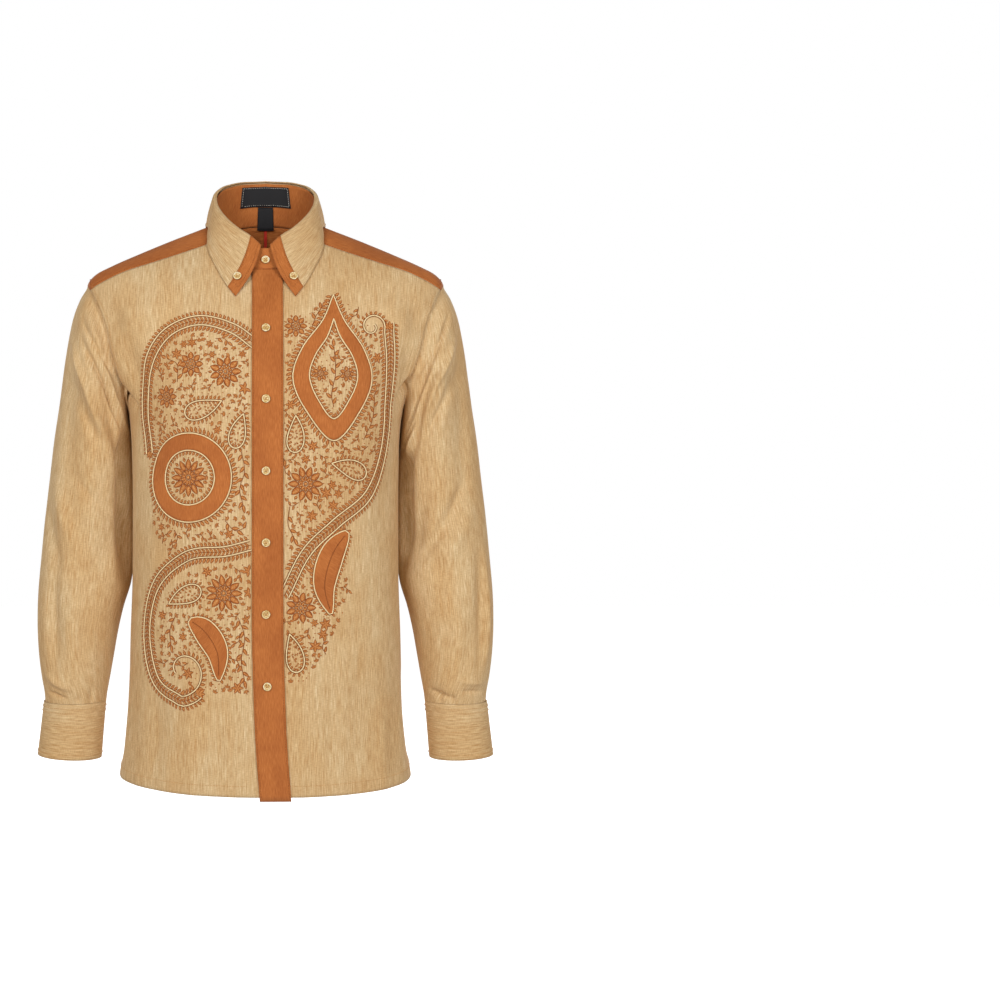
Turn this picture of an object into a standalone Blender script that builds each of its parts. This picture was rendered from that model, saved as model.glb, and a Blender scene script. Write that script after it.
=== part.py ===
"""A long-sleeved linen shirt with a button-down collar, standing hollow as if it were worn.

Every panel is an open surface worked out from the tables below and given its thickness by Solidify.
+Z is up, the front faces -Y and the wearer's left is +X. The origin lies between the two points
where the shoulder seams meet the collar, so the shoulders that carry the shirt are level with it.
"""

import math

import bpy
import numpy as np
from mathutils import Vector

WALL = 0.0015
TRIM_WALL = 0.0011
SEAM_GAP = 0.0003
LAP_GAP = 0.0006
FOLD_OVERLAP = WALL + LAP_GAP

LINEN = ("linen", (0.61, 0.40, 0.22), 0.85)
RUST_CLOTH = ("rust_cloth", (0.47, 0.16, 0.045), 0.8)
LABEL_TAPE = ("label_tape", (0.02, 0.018, 0.018), 0.7)
HORN = ("horn_button", (0.72, 0.50, 0.24), 0.35)

# height, half width, depth in front of the middle, depth behind it
BODY = np.array([
    (-0.7400, 0.1945, 0.1310, 0.1185),
    (-0.7270, 0.1935, 0.1310, 0.1180),
    (-0.6900, 0.1875, 0.1295, 0.1160),
    (-0.6300, 0.1820, 0.1280, 0.1130),
    (-0.5400, 0.1795, 0.1265, 0.1090),
    (-0.4600, 0.1770, 0.1255, 0.1050),
    (-0.3600, 0.1768, 0.1260, 0.1060),
    (-0.3000, 0.1780, 0.1262, 0.1100),
    (-0.2550, 0.1815, 0.1255, 0.1130),
    (-0.2000, 0.2040, 0.1215, 0.1140),
    (-0.1665, 0.2200, 0.1155, 0.1130),
    (-0.1300, 0.2330, 0.1055, 0.1100),
    (-0.1000, 0.2392, 0.0920, 0.1060),
    (-0.0850, 0.2390, 0.0840, 0.1025),
    (-0.0780, 0.2370, 0.0795, 0.1005),
    (-0.0675, 0.2285, 0.0725, 0.0985),
    (-0.0552, 0.2060, 0.0640, 0.0960),
    (-0.0414, 0.1755, 0.0530, 0.0925),
    (-0.0214, 0.1290, 0.0350, 0.0865),
    (-0.0020, 0.0810, 0.0160, 0.0790),
    (0.0100, 0.0520, 0.0080, 0.0735),
    (0.0300, 0.0150, 0.0030, 0.0500),
])
FRONT_SQUARENESS, BACK_SQUARENESS = 2.35, 2.6
GIRTH_RADIUS = 0.155

# lowest edge at the middle of the front, the side seams and the middle of the back
HEM_FRONT, HEM_SIDE, HEM_BACK = -0.7345, -0.7245, -0.7330
CHEST_FRONT, CHEST_SIDE, CHEST_BACK = -0.2700, -0.2555, -0.2700

NECK_HALF_WIDTH, NECK_FRONT, NECK_BACK = 0.0760, 0.0750, 0.0700
NECK_EDGE_HEIGHT = -0.0700
ARMHOLE_MIDDLE, ARMHOLE_HALF_HEIGHT = -0.1665, 0.0885
ARMHOLE_FRONT, ARMHOLE_BACK = 0.0580, 0.0560
YOKE_FRONT_TURN, YOKE_BACK_TURN = 30, -105
YOKE_NECK_ANGLE = 60.4
YOKE_BACK_MIDDLE = -0.1720
# distance from the middle and height of the seam between front and yoke
YOKE_FRONT = np.array([
    (0.0660, -0.0315),
    (0.0985, -0.0445),
    (0.1398, -0.0590),
    (0.1762, -0.0700),
    (0.2042, -0.0810),
    (0.2275, -0.0899),
])

PLACKET_WIDTH = 0.0390
PLACKET_DROP = 0.0045
# the fronts' edges under the placket, from its middle line
FRONT_UNDER_EDGE, FRONT_OVER_EDGE = -0.0148, 0.0163
# height and distance of the placket's middle line from the middle of the shirt
PLACKET_LINE = np.array([(-0.7400, 0.0125), (-0.6500, 0.0062), (-0.5200, 0.0027), (0.0, 0.0025)])

# For each side: start angle, start height, end angle, end height, half width, rise.
# The angle is in degrees from the middle of the front, and behind the side seams it passes 90.
BODY_FOLDS = np.array([
    (-63, -0.238, -47, -0.115, 0.018, -0.0045),
    (-78, -0.215, -62, -0.120, 0.014, 0.0035),
    (-52, -0.345, -70, -0.262, 0.022, -0.0030),
    (-54, -0.735, -58, -0.560, 0.016, -0.0035),
    (-74, -0.735, -77, -0.600, 0.014, 0.0030),
    (64, -0.236, 50, -0.125, 0.018, -0.0045),
    (78, -0.215, 63, -0.118, 0.014, 0.0035),
    (60, -0.400, 76, -0.275, 0.020, -0.0030),
    (44, -0.735, 50, -0.580, 0.020, -0.0030),
    (70, -0.735, 74, -0.610, 0.014, 0.0030),
    (-116, -0.165, -112, -0.300, 0.017, -0.0045),
    (-130, -0.150, -124, -0.270, 0.018, 0.0025),
    (115, -0.170, 111, -0.310, 0.017, -0.0045),
    (129, -0.155, 123, -0.265, 0.018, 0.0025),
    (-150, -0.735, -140, -0.480, 0.020, -0.0035),
    (152, -0.735, 142, -0.450, 0.020, -0.0035),
    (176, -0.735, 170, -0.520, 0.022, 0.0030),
])

# inner x and z, outer x and z, half depth, middle y of each ring down the sleeve, below the armhole
SLEEVE = np.array([
    (0.1862, -0.2670, 0.2475, -0.0985, 0.0600, 0.0010),
    (0.1850, -0.2830, 0.2568, -0.1220, 0.0635, 0.0030),
    (0.1830, -0.3030, 0.2640, -0.1530, 0.0655, 0.0070),
    (0.1810, -0.3270, 0.2710, -0.1920, 0.0660, 0.0120),
    (0.1800, -0.3530, 0.2776, -0.2370, 0.0655, 0.0170),
    (0.1797, -0.3810, 0.2855, -0.2860, 0.0645, 0.0200),
    (0.1797, -0.4110, 0.2916, -0.3370, 0.0635, 0.0210),
    (0.1812, -0.4430, 0.2975, -0.3890, 0.0625, 0.0190),
    (0.1850, -0.4760, 0.3018, -0.4400, 0.0615, 0.0150),
    (0.1912, -0.5090, 0.3050, -0.4890, 0.0600, 0.0090),
    (0.1980, -0.5410, 0.3050, -0.5310, 0.0575, 0.0030),
    (0.2030, -0.5730, 0.3022, -0.5680, 0.0535, -0.0030),
    (0.2072, -0.6000, 0.2978, -0.5980, 0.0480, -0.0080),
    (0.2105, -0.6200, 0.2936, -0.6190, 0.0420, -0.0110),
    (0.2122, -0.6320, 0.2922, -0.6320, 0.0375, -0.0120),
])
CAP_RING_SCALE = 0.93
ARMHOLE_GAP = 1.5 * SEAM_GAP
SLEEVE_SPACING, SLEEVE_RADIUS = 0.032, 0.055
# start ring, start turn, end ring, end turn, half width, rise; turn 0 is outermost and 90 in front
SLEEVE_FOLDS = np.array([
    (3.0, 104, 6.0, 150, 0.012, -0.0060),
    (1.5, 70, 8.5, 104, 0.014, 0.0040),
    (3.0, 34, 9.0, 72, 0.014, -0.0040),
    (8.5, 130, 11.0, 84, 0.014, -0.0035),
    (11.0, 60, 14.0, 92, 0.013, -0.0030),
    (2.5, -70, 7.0, -112, 0.013, 0.0035),
    (3.0, -110, 6.5, -150, 0.012, -0.0050),
    (9.0, -60, 12.0, -105, 0.014, -0.0035),
    (13.2, -36, 16.0, -40, 0.008, -0.0050),
    (13.5, -140, 16.0, -130, 0.009, -0.0035),
])

# height, half width, half depth, middle x and middle y down the cuff
CUFF = np.array([
    (-0.7045, 0.0416, 0.0378, 0.2592, -0.0145),
    (-0.6700, 0.0410, 0.0374, 0.2560, -0.0132),
    (-0.6326, 0.0406, 0.0376, 0.2524, -0.0120),
])
CUFF_TILT = 0.0022
CUFF_START, CUFF_END = 296, -86

SLEEVE_PLACKET_TURN, SLEEVE_PLACKET_WIDTH = -75, 0.0220
SLEEVE_PLACKET_TOP, SLEEVE_PLACKET_RADIUS = 11.75, 0.048
SLEEVE_PLACKET_SHORT = 0.06

# place along half the collar, angle round the neck and height of its top fold
COLLAR_FOLD = np.array([
    (0.00, 4.3, -0.0380),
    (0.07, 15.5, -0.0258),
    (0.20, 32.0, -0.0125),
    (0.33, 50.0, 0.0040),
    (0.50, 84.0, 0.0345),
    (0.60, 103.0, 0.0510),
    (0.70, 124.0, 0.0645),
    (0.85, 152.0, 0.0735),
    (1.00, 180.0, 0.0760),
])
# place along half the collar, angle round the body and height of its lower edge, which lies on it
COLLAR_EDGE = np.array([
    (0.00, 21.6, -0.1090),
    (0.07, 28.3, -0.0960),
    (0.20, 43.0, -0.0655),
    (0.33, 59.0, -0.0370),
    (0.42, 70.0, -0.0195),
    (0.50, 88.0, -0.0015),
    (0.70, 128.0, -0.0040),
    (1.00, 180.0, 0.0060),
])
COLLAR_BAND, COLLAR_FRONT_END = 0.07, 0.33
COLLAR_BULGE, COLLAR_BOW = 0.0015, 0.0060
FOLD_HALF_WIDTH, FOLD_FRONT, FOLD_BACK = 0.0680, 0.0705, 0.0600
# the three rows that turn the cloth over its top fold: scale of the fold's oval, drop below it
FOLD_ROWS = ((0.955, 0.0006), (0.998, 0.0), (1.045, 0.0020))
LEAF_SHARES = (0.3, 0.65, 1.0)
STAND_BELOW_FOLD, STAND_TOP_SCALE = 0.0042, 0.965
STAND_RAISE = 2.3 * SEAM_GAP
STAND_UNDER_END, STAND_TOP_END = 12, -14
STAND_LAP_START, STAND_LAP_LENGTH = 100, 75
CUFF_LAP_START, CUFF_LAP_LENGTH = 60, 90

LABEL_ANGLE, LABEL_BOTTOM, LABEL_TOP = 32, 0.41, 0.94
TAB_ANGLE, TAB_BOTTOM, TAB_GAP = 9.5, -0.10, 0.01

BUTTON_RADIUS, BUTTON_HEIGHT, BUTTON_GAP = 0.0054, 0.0024, 0.0004
FRONT_BUTTON_TOP, FRONT_BUTTON_PITCH, FRONT_BUTTONS = -0.1515, 0.0891, 6
FRONT_BUTTON_ASIDE = -0.0020
STAND_BUTTON_SHARE = 0.42
COLLAR_BUTTON_PLACE, COLLAR_BUTTON_SHARE = 0.052, 0.30
CUFF_BUTTON_TURN, CUFF_BUTTON_HEIGHTS = -73.0, (-0.6560, -0.6850)
SLEEVE_BUTTON_RING = 14.35

# rows and columns of faces
FRONT_NECK_COLUMNS, FRONT_YOKE_COLUMNS, BACK_COLUMNS = 5, 7, 9
LOW_ROWS, FRONT_ARM_ROWS, BACK_ARM_ROWS = 12, 10, 5
YOKE_ARM_COLUMNS, YOKE_BACK_COLUMNS, YOKE_ROWS = 9, 9, 7
PLACKET_COLUMNS, SLEEVE_COLUMNS, CUFF_COLUMNS, CUFF_ROWS = 4, 24, 24, 3
STAND_COLUMNS, STAND_ROWS, LEAF_FRONT_COLUMNS, LEAF_BACK_COLUMNS = 40, 3, 4, 9
LABEL_COLUMNS, TAB_COLUMNS, LABEL_ROWS = 8, 3, 2
BUTTON_STEPS = 12


def smooth(table, column, at):
    """The table's column at these places, on a cubic that never overshoots its rows."""
    x, y = table[:, 0], table[:, column]
    step, slope = np.diff(x), np.diff(y) / np.diff(x)
    same_way = slope[:-1] * slope[1:] > 0
    total = np.where(same_way, slope[:-1] + slope[1:], 1.0)
    inner = np.where(same_way, 2 * slope[:-1] * slope[1:] / total, 0.0)
    tangent = np.concatenate(([slope[0]], inner, [slope[-1]]))
    at = np.clip(at, x[0], x[-1])
    i = np.clip(np.searchsorted(x, at) - 1, 0, len(x) - 2)
    t = (at - x[i]) / step[i]
    rise = y[i + 1] - y[i]
    return (
        y[i]
        + rise * t * t * (3 - 2 * t)
        + step[i] * t * (1 - t) * (tangent[i] * (1 - t) - tangent[i + 1] * t)
    )


def unit(vectors):
    return vectors / np.linalg.norm(vectors, axis=-1, keepdims=True)


def creases(folds, across, along):
    """How far the folds lift these points of flattened cloth; each fold fades out at its ends."""
    lift = np.zeros(np.shape(across))
    for x0, y0, x1, y1, half_width, rise in folds:
        dx, dy = x1 - x0, y1 - y0
        share = ((across - x0) * dx + (along - y0) * dy) / (dx * dx + dy * dy)
        near = np.clip(share, 0, 1)
        away = np.hypot(across - x0 - near * dx, along - y0 - near * dy)
        fade = 0.35 + 0.65 * np.sin(np.pi * near)
        lift = lift + rise * fade * np.exp(-((away / half_width) ** 2))
    return lift


def section_radius(angle, height):
    """Distance of the body's cloth from the middle line at this angle from the front."""
    front = np.cos(angle) > 0
    power = np.where(front, FRONT_SQUARENESS, BACK_SQUARENESS)
    depth = np.where(front, smooth(BODY, 2, height), smooth(BODY, 3, height))
    side = np.abs(np.sin(angle)) / smooth(BODY, 1, height)
    middle = np.abs(np.cos(angle)) / depth
    return (side**power + middle**power) ** (-1 / power)


def body_base(angle, height):
    radius = section_radius(angle, height)
    return np.stack([radius * np.sin(angle), -radius * np.cos(angle), height + 0 * angle], -1)


def body_point(angle, height, out=0.0):
    """A point of the body's outer face, folds included, moved out along the cloth's normal."""
    angle, height = np.broadcast_arrays(np.asarray(angle, float), np.asarray(height, float))
    turn_step, height_step = 0.004, 0.001
    across = body_base(angle + turn_step, height) - body_base(angle - turn_step, height)
    upward = body_base(angle, height + height_step) - body_base(angle, height - height_step)
    normal = unit(np.cross(across, upward))
    folds = BODY_FOLDS.copy()
    folds[:, [0, 2]] = np.radians(folds[:, [0, 2]]) * GIRTH_RADIUS
    lift = creases(folds, angle * GIRTH_RADIUS, height)
    return body_base(angle, height) + normal * (lift + out)[..., None]


def angle_at(x, height, back=False):
    """The body angle of the point that lies this far to the side at this height."""
    depth = smooth(BODY, 3 if back else 2, height)
    power = BACK_SQUARENESS if back else FRONT_SQUARENESS
    share = np.clip(np.abs(x) / smooth(BODY, 1, height), 0, 1)
    y = depth * (1 - share**power) ** (1 / power)
    return np.arctan2(x, -y if back else y)


def neck_height(angle):
    """Height at which the body's cloth meets the oval of the neck seam, by halving."""
    target = neck_radius(angle)
    low, high = np.full(np.shape(angle), -0.11), np.full(np.shape(angle), 0.029)
    for _ in range(40):
        middle = (low + high) / 2
        outside = section_radius(angle, middle) > target
        low, high = np.where(outside, middle, low), np.where(outside, high, middle)
    return (low + high) / 2


def neck_radius(angle):
    depth = np.where(np.cos(angle) > 0, NECK_FRONT, NECK_BACK)
    return 1 / np.hypot(np.sin(angle) / NECK_HALF_WIDTH, np.cos(angle) / depth)


def armhole(turn, scale=1.0):
    """Body angle and height round the armhole: turn 0 is its top, 90 its front and 180 its foot."""
    turn = np.radians(turn)
    height = ARMHOLE_MIDDLE + ARMHOLE_HALF_HEIGHT * scale * np.cos(turn)
    front = np.sin(turn) > 0
    y = np.where(front, ARMHOLE_FRONT, ARMHOLE_BACK) * scale * np.abs(np.sin(turn))
    depth = np.where(front, smooth(BODY, 2, height), smooth(BODY, 3, height))
    power = np.where(front, FRONT_SQUARENESS, BACK_SQUARENESS)
    x = smooth(BODY, 1, height) * (1 - (y / depth) ** power) ** (1 / power)
    return np.stack([np.arctan2(x, np.where(front, y, -y)), height], -1)


def yoke_front_seam(share):
    """Body angle and height along the seam from the neck to the armhole."""
    corner = armhole(YOKE_FRONT_TURN)
    x = YOKE_FRONT[0, 0] + share * (YOKE_FRONT[-1, 0] - YOKE_FRONT[0, 0])
    height = smooth(YOKE_FRONT, 1, x)
    line = np.stack([angle_at(x, height), height], -1)
    start = neck_line(np.radians(YOKE_NECK_ANGLE))
    ends = (1 - share)[..., None] * (start - line[:1]) + share[..., None] * (corner - line[-1:])
    return line + ends


def neck_line(angle):
    return np.stack([angle, neck_height(angle)], -1)


def yoke_back_seam(share):
    """Body angle and height along the back seam from its armhole end to the middle."""
    corner = armhole(YOKE_BACK_TURN)
    angle = corner[0] + share * (math.pi - corner[0])
    height = corner[1] + (YOKE_BACK_MIDDLE - corner[1]) * np.sin(share * math.pi / 2)
    return np.stack([angle, height], -1)


def coons(bottom, top, left, right):
    """A patch filled in between its four edges, each a row of (angle, height) pairs."""
    u = np.linspace(0, 1, len(bottom))[None, :, None]
    v = np.linspace(0, 1, len(left))[:, None, None]
    across = (1 - u) * left[:, None] + u * right[:, None]
    upward = (1 - v) * bottom[None] + v * top[None]
    corners = (1 - v) * ((1 - u) * bottom[0] + u * bottom[-1]) + v * ((1 - u) * top[0] + u * top[-1])
    return across + upward - corners


def front_panel(start_x):
    """(angle, height) grid of one front, from its edge at the middle to the side seam."""
    share = np.linspace(0, 1, FRONT_NECK_COLUMNS + FRONT_YOKE_COLUMNS + 1)
    neck_start = start_angle(start_x, NECK_EDGE_HEIGHT)
    neck = neck_line(np.linspace(neck_start, math.radians(YOKE_NECK_ANGLE), FRONT_NECK_COLUMNS + 1))
    top = np.concatenate([neck[:-1], yoke_front_seam(np.linspace(0, 1, FRONT_YOKE_COLUMNS + 1))])
    chest_start = start_angle(start_x, CHEST_FRONT)
    chest = np.stack([
        chest_start + share * (math.pi / 2 - chest_start),
        CHEST_FRONT + (CHEST_SIDE - CHEST_FRONT) * share**2,
    ], -1)
    right = armhole(np.linspace(180, YOKE_FRONT_TURN, FRONT_ARM_ROWS + 1))
    left_height = np.linspace(CHEST_FRONT, neck[0, 1], FRONT_ARM_ROWS + 1)
    left = np.stack([start_angle(start_x, left_height), left_height], -1)
    left[-1] = neck[0]
    upper = coons(chest, top, left, right)
    drop = np.linspace(0, 1, LOW_ROWS + 1)[:-1, None]
    hem = HEM_FRONT + (HEM_SIDE - HEM_FRONT) * share**3
    low_height = hem + (chest[:, 1] - hem) * drop
    low_start = start_angle(start_x, low_height[:, :1])
    low_angle = low_start + share * (math.pi / 2 - low_start)
    return np.concatenate([np.stack([low_angle, low_height], -1), upper])


def start_angle(start_x, height):
    """Angle of a front's edge, which keeps its distance from the placket's middle line."""
    return angle_at(start_x + start_side(start_x) * smooth(PLACKET_LINE, 1, height), height)


def start_side(start_x):
    """The front that passes under the placket starts on the far side of the middle."""
    return 1.0 if start_x > 0 else -1.0


def back_panel():
    """(angle, height) grid of half the back, from its middle to the side seam."""
    share = np.linspace(0, 1, BACK_COLUMNS + 1)
    angle = math.pi - share * math.pi / 2
    chest = np.stack([angle, CHEST_BACK + (CHEST_SIDE - CHEST_BACK) * share**2], -1)
    top = yoke_back_seam(1 - share)
    right = armhole(np.linspace(-180, YOKE_BACK_TURN, BACK_ARM_ROWS + 1))
    left = np.stack([
        np.full(BACK_ARM_ROWS + 1, math.pi),
        np.linspace(CHEST_BACK, YOKE_BACK_MIDDLE, BACK_ARM_ROWS + 1),
    ], -1)
    upper = coons(chest, top, left, right)
    drop = np.linspace(0, 1, LOW_ROWS + 1)[:-1, None]
    hem = HEM_BACK + (HEM_SIDE - HEM_BACK) * share**3
    low = np.stack([angle + 0 * drop, hem + (chest[:, 1] - hem) * drop], -1)
    return np.concatenate([low, upper])


def yoke_panel():
    """(angle, height) grid of half the yoke, from its front seam to the middle of the back."""
    columns = YOKE_ARM_COLUMNS + YOKE_BACK_COLUMNS
    neck = neck_line(np.linspace(math.radians(YOKE_NECK_ANGLE), math.pi, columns + 1))
    arm = armhole(np.linspace(YOKE_FRONT_TURN, YOKE_BACK_TURN, YOKE_ARM_COLUMNS + 1))
    outer = np.concatenate([arm[:-1], yoke_back_seam(np.linspace(0, 1, YOKE_BACK_COLUMNS + 1))])
    front = yoke_front_seam(np.linspace(0, 1, YOKE_ROWS + 1))
    middle = np.stack([
        np.full(YOKE_ROWS + 1, math.pi),
        np.linspace(neck[-1, 1], YOKE_BACK_MIDDLE, YOKE_ROWS + 1),
    ], -1)
    return coons(neck, outer, front, middle)


def on_body(grid, side=1, out=0.0):
    """The 3-D points of an (angle, height) grid, on the wearer's left (1) or right (-1)."""
    return body_point(side * grid[..., 0], grid[..., 1], out)


def trimmed(points, gap=SEAM_GAP, wrap=False):
    """The grid with its edges drawn in along the cloth, so that pieces don't touch at a seam."""
    points = points.copy()
    points[0] += unit(points[1] - points[0]) * gap
    points[-1] += unit(points[-2] - points[-1]) * gap
    if not wrap:
        points[:, 0] += unit(points[:, 1] - points[:, 0]) * gap
        points[:, -1] += unit(points[:, -2] - points[:, -1]) * gap
    return points


def material(look):
    name, colour, roughness = look
    found = bpy.data.materials.get(name)
    if found:
        return found
    made = bpy.data.materials.new(name)
    made.use_nodes = True
    shader = made.node_tree.nodes["Principled BSDF"]
    shader.inputs["Base Color"].default_value = (*colour, 1)
    shader.inputs["Roughness"].default_value = roughness
    made.diffuse_color = (*colour, 1)
    return made


def split_quad(points, quad):
    """Two triangles that share the shorter diagonal, which keeps a bent panel smooth."""
    a, b, c, d = quad
    if np.linalg.norm(points[a] - points[c]) <= np.linalg.norm(points[b] - points[d]):
        return [(a, b, c), (a, c, d)]
    return [(a, b, d), (b, c, d)]


def cloth(name, points, look, parts, wall=WALL, wrap=False, flip=False):
    """A wall of cloth through a grid of points on its outer face; Solidify sets its thickness."""
    rows, columns = points.shape[:2]
    reach = columns if wrap else columns - 1
    flat = points.reshape(-1, 3)
    faces = []
    for r in range(rows - 1):
        for c in range(reach):
            right = (c + 1) % columns
            quad = [r * columns + c, r * columns + right, (r + 1) * columns + right, (r + 1) * columns + c]
            faces += split_quad(flat, quad[::-1] if flip else quad)
    mesh = bpy.data.meshes.new(name)
    mesh.from_pydata([tuple(p) for p in flat], [], faces)
    mesh.shade_smooth()
    mesh.materials.append(material(look))
    made = bpy.data.objects.new(name, mesh)
    parts.objects.link(made)
    solid = made.modifiers.new("cloth thickness", "SOLIDIFY")
    solid.thickness = wall
    solid.offset = -1
    solid.use_rim = True
    return made


def make_body(parts):
    right = front_panel(FRONT_UNDER_EDGE)
    left = front_panel(FRONT_OVER_EDGE)
    cloth("front_right", trimmed(on_body(right, -1)), LINEN, parts, flip=True)
    cloth("front_left", trimmed(on_body(left, 1)), LINEN, parts)
    make_placket(parts, left[:, 0, 1])
    half = back_panel()
    back = np.concatenate([on_body(half, 1)[:, ::-1], on_body(half, -1)[:, 1:]], 1)
    cloth("back", trimmed(back), LINEN, parts)
    half = yoke_panel()
    yoke = np.concatenate([on_body(half, 1), on_body(half, -1)[:, -2::-1]], 1)
    cloth("yoke", trimmed(yoke), RUST_CLOTH, parts, flip=True)


def make_placket(parts, edge_heights):
    """The strip over both fronts, in rows at the same heights as theirs."""
    height = edge_heights.copy()[:, None]
    height[0] -= PLACKET_DROP
    height[-1] = neck_height(np.zeros(1)) - 2 * SEAM_GAP
    offset = np.linspace(-PLACKET_WIDTH / 2, PLACKET_WIDTH / 2, PLACKET_COLUMNS + 1)[None, :]
    angle = angle_at(smooth(PLACKET_LINE, 1, height) + offset, height)
    strip = body_point(angle, height, WALL + LAP_GAP)
    cloth("front_placket", strip, RUST_CLOTH, parts)


def sleeve_ring(number, turn):
    """Points of one ring of the sleeve: 0 is the armhole, 1 lies just past it on the same form."""
    if number < 2:
        scale = 1.0 if number == 0 else CAP_RING_SCALE
        place = armhole(turn, scale)
        return body_point(place[..., 0], place[..., 1])
    inner_x, inner_z, outer_x, outer_z, depth, middle_y = SLEEVE[number - 2]
    turn = np.radians(turn)
    return np.stack([
        (inner_x + outer_x) / 2 + (outer_x - inner_x) / 2 * np.cos(turn),
        middle_y - depth * np.sin(turn),
        (inner_z + outer_z) / 2 + (outer_z - inner_z) / 2 * np.cos(turn),
    ], -1)


def sleeve_point(ring, turn, out=0.0):
    """A point of the left sleeve's outer face, at a place between its rings, folds included."""
    turn = np.asarray(turn, float)
    last = len(SLEEVE) + 1

    def base(at, turns):
        low = int(min(max(math.floor(at), 0), last - 1))
        t = at - low
        before, start = sleeve_ring(max(low - 1, 0), turns), sleeve_ring(low, turns)
        end, after = sleeve_ring(low + 1, turns), sleeve_ring(min(low + 2, last), turns)
        lead, follow = (end - before) / 2, (after - start) / 2
        bend = t * (1 - t) * ((1 - t) * (lead - end + start) - t * (follow - end + start))
        return start + (end - start) * t + bend

    around = base(ring, turn + 0.5) - base(ring, turn - 0.5)
    down = base(min(ring + 0.02, last), turn) - base(max(ring - 0.02, 0), turn)
    normal = unit(np.cross(around, down))
    folds = SLEEVE_FOLDS.copy()
    folds[:, [0, 2]] *= SLEEVE_SPACING
    folds[:, [1, 3]] = np.radians(folds[:, [1, 3]]) * SLEEVE_RADIUS
    turned = np.radians((turn + 180) % 360 - 180) * SLEEVE_RADIUS
    lift = creases(folds, ring * SLEEVE_SPACING + 0 * turn, turned)
    settle = min(max(ring - 1, 0), 1)
    return base(ring, turn) + normal * (settle * lift + out)[..., None]


def mirrored(points, side):
    return points * np.array([side, 1, 1])


def make_sleeves(parts):
    turns = np.arange(0, 360, 360 / SLEEVE_COLUMNS)
    rings = range(len(SLEEVE) + 2)
    for side, name in ((1, "left"), (-1, "right")):
        points = mirrored(np.stack([sleeve_point(ring, turns) for ring in rings]), side)
        points = trimmed(points, ARMHOLE_GAP, wrap=True)
        cloth(f"sleeve_{name}", points, LINEN, parts, wrap=True, flip=side < 0)
        make_sleeve_placket(parts, side, name)
        make_cuff(parts, side, name)


def make_sleeve_placket(parts, side, name):
    last = len(SLEEVE) + 1
    half_turn = math.degrees(SLEEVE_PLACKET_WIDTH / 2 / SLEEVE_PLACKET_RADIUS)
    turns = SLEEVE_PLACKET_TURN + np.array([-half_turn, 0, half_turn])
    whole = range(math.ceil(SLEEVE_PLACKET_TOP), last)
    rings = [SLEEVE_PLACKET_TOP, *whole, last - SLEEVE_PLACKET_SHORT]
    points = np.stack([sleeve_point(ring, turns, TRIM_WALL + LAP_GAP) for ring in rings])
    name = f"sleeve_placket_{name}"
    cloth(name, mirrored(points, side), LINEN, parts, TRIM_WALL, flip=side < 0)


def cuff_point(turn, height, out=0.0):
    """A point of the left cuff's outer face; the end on top lies over the end underneath."""
    turn = np.asarray(turn, float)
    lap = np.clip((CUFF_LAP_START - turn) / CUFF_LAP_LENGTH, 0, 1)
    lift = out + FOLD_OVERLAP * lap * lap * (3 - 2 * lap)
    radians = np.radians(turn)
    half_width, half_depth = smooth(CUFF, 1, height) + lift, smooth(CUFF, 2, height) + lift
    return np.stack([
        smooth(CUFF, 3, height) + half_width * np.cos(radians),
        smooth(CUFF, 4, height) - half_depth * np.sin(radians),
        height + CUFF_TILT * np.cos(radians) * (CUFF[-1, 0] - height) / (CUFF[-1, 0] - CUFF[0, 0]),
    ], -1)


def make_cuff(parts, side, name):
    turns = np.linspace(CUFF_START, CUFF_END, CUFF_COLUMNS + 1)
    heights = np.linspace(CUFF[0, 0], CUFF[-1, 0], CUFF_ROWS + 1)
    points = mirrored(np.stack([cuff_point(turns, height) for height in heights]), side)
    cloth(f"cuff_{name}", points, LINEN, parts, flip=side < 0)


def fold_ring(angle, height, scale=1.0):
    depth = np.where(np.cos(angle) > 0, FOLD_FRONT, FOLD_BACK)
    radius = scale / np.hypot(np.sin(angle) / FOLD_HALF_WIDTH, np.cos(angle) / depth)
    return np.stack([radius * np.sin(angle), -radius * np.cos(angle), height], -1)


def fold_height(angle):
    """Height of the collar's top fold at this angle round the neck."""
    degrees = np.degrees(np.abs(angle))
    table = COLLAR_FOLD[:, 1:]
    return smooth(table, 1, degrees)


def stand_point(angle, share, out=0.0, lapped=True):
    """A point of the collar stand's outer face, from the neck seam (0) to its top edge (1)."""
    wrapped = (angle + math.pi) % (2 * math.pi) - math.pi
    radius = neck_radius(wrapped)
    low = np.stack([radius * np.sin(wrapped), -radius * np.cos(wrapped), neck_height(wrapped)], -1)
    low[..., 2] += STAND_RAISE
    high = fold_ring(wrapped, fold_height(wrapped) - STAND_BELOW_FOLD, STAND_TOP_SCALE)
    outward = np.stack([np.sin(wrapped), -np.cos(wrapped), 0 * wrapped], -1)
    lap = np.clip((STAND_LAP_START - np.degrees(angle)) / STAND_LAP_LENGTH, 0, 1) if lapped else 0
    lift = FOLD_OVERLAP * lap * lap * (3 - 2 * lap) + out
    return low + (high - low) * share + outward * (lift + 0 * angle)[..., None]


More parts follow.
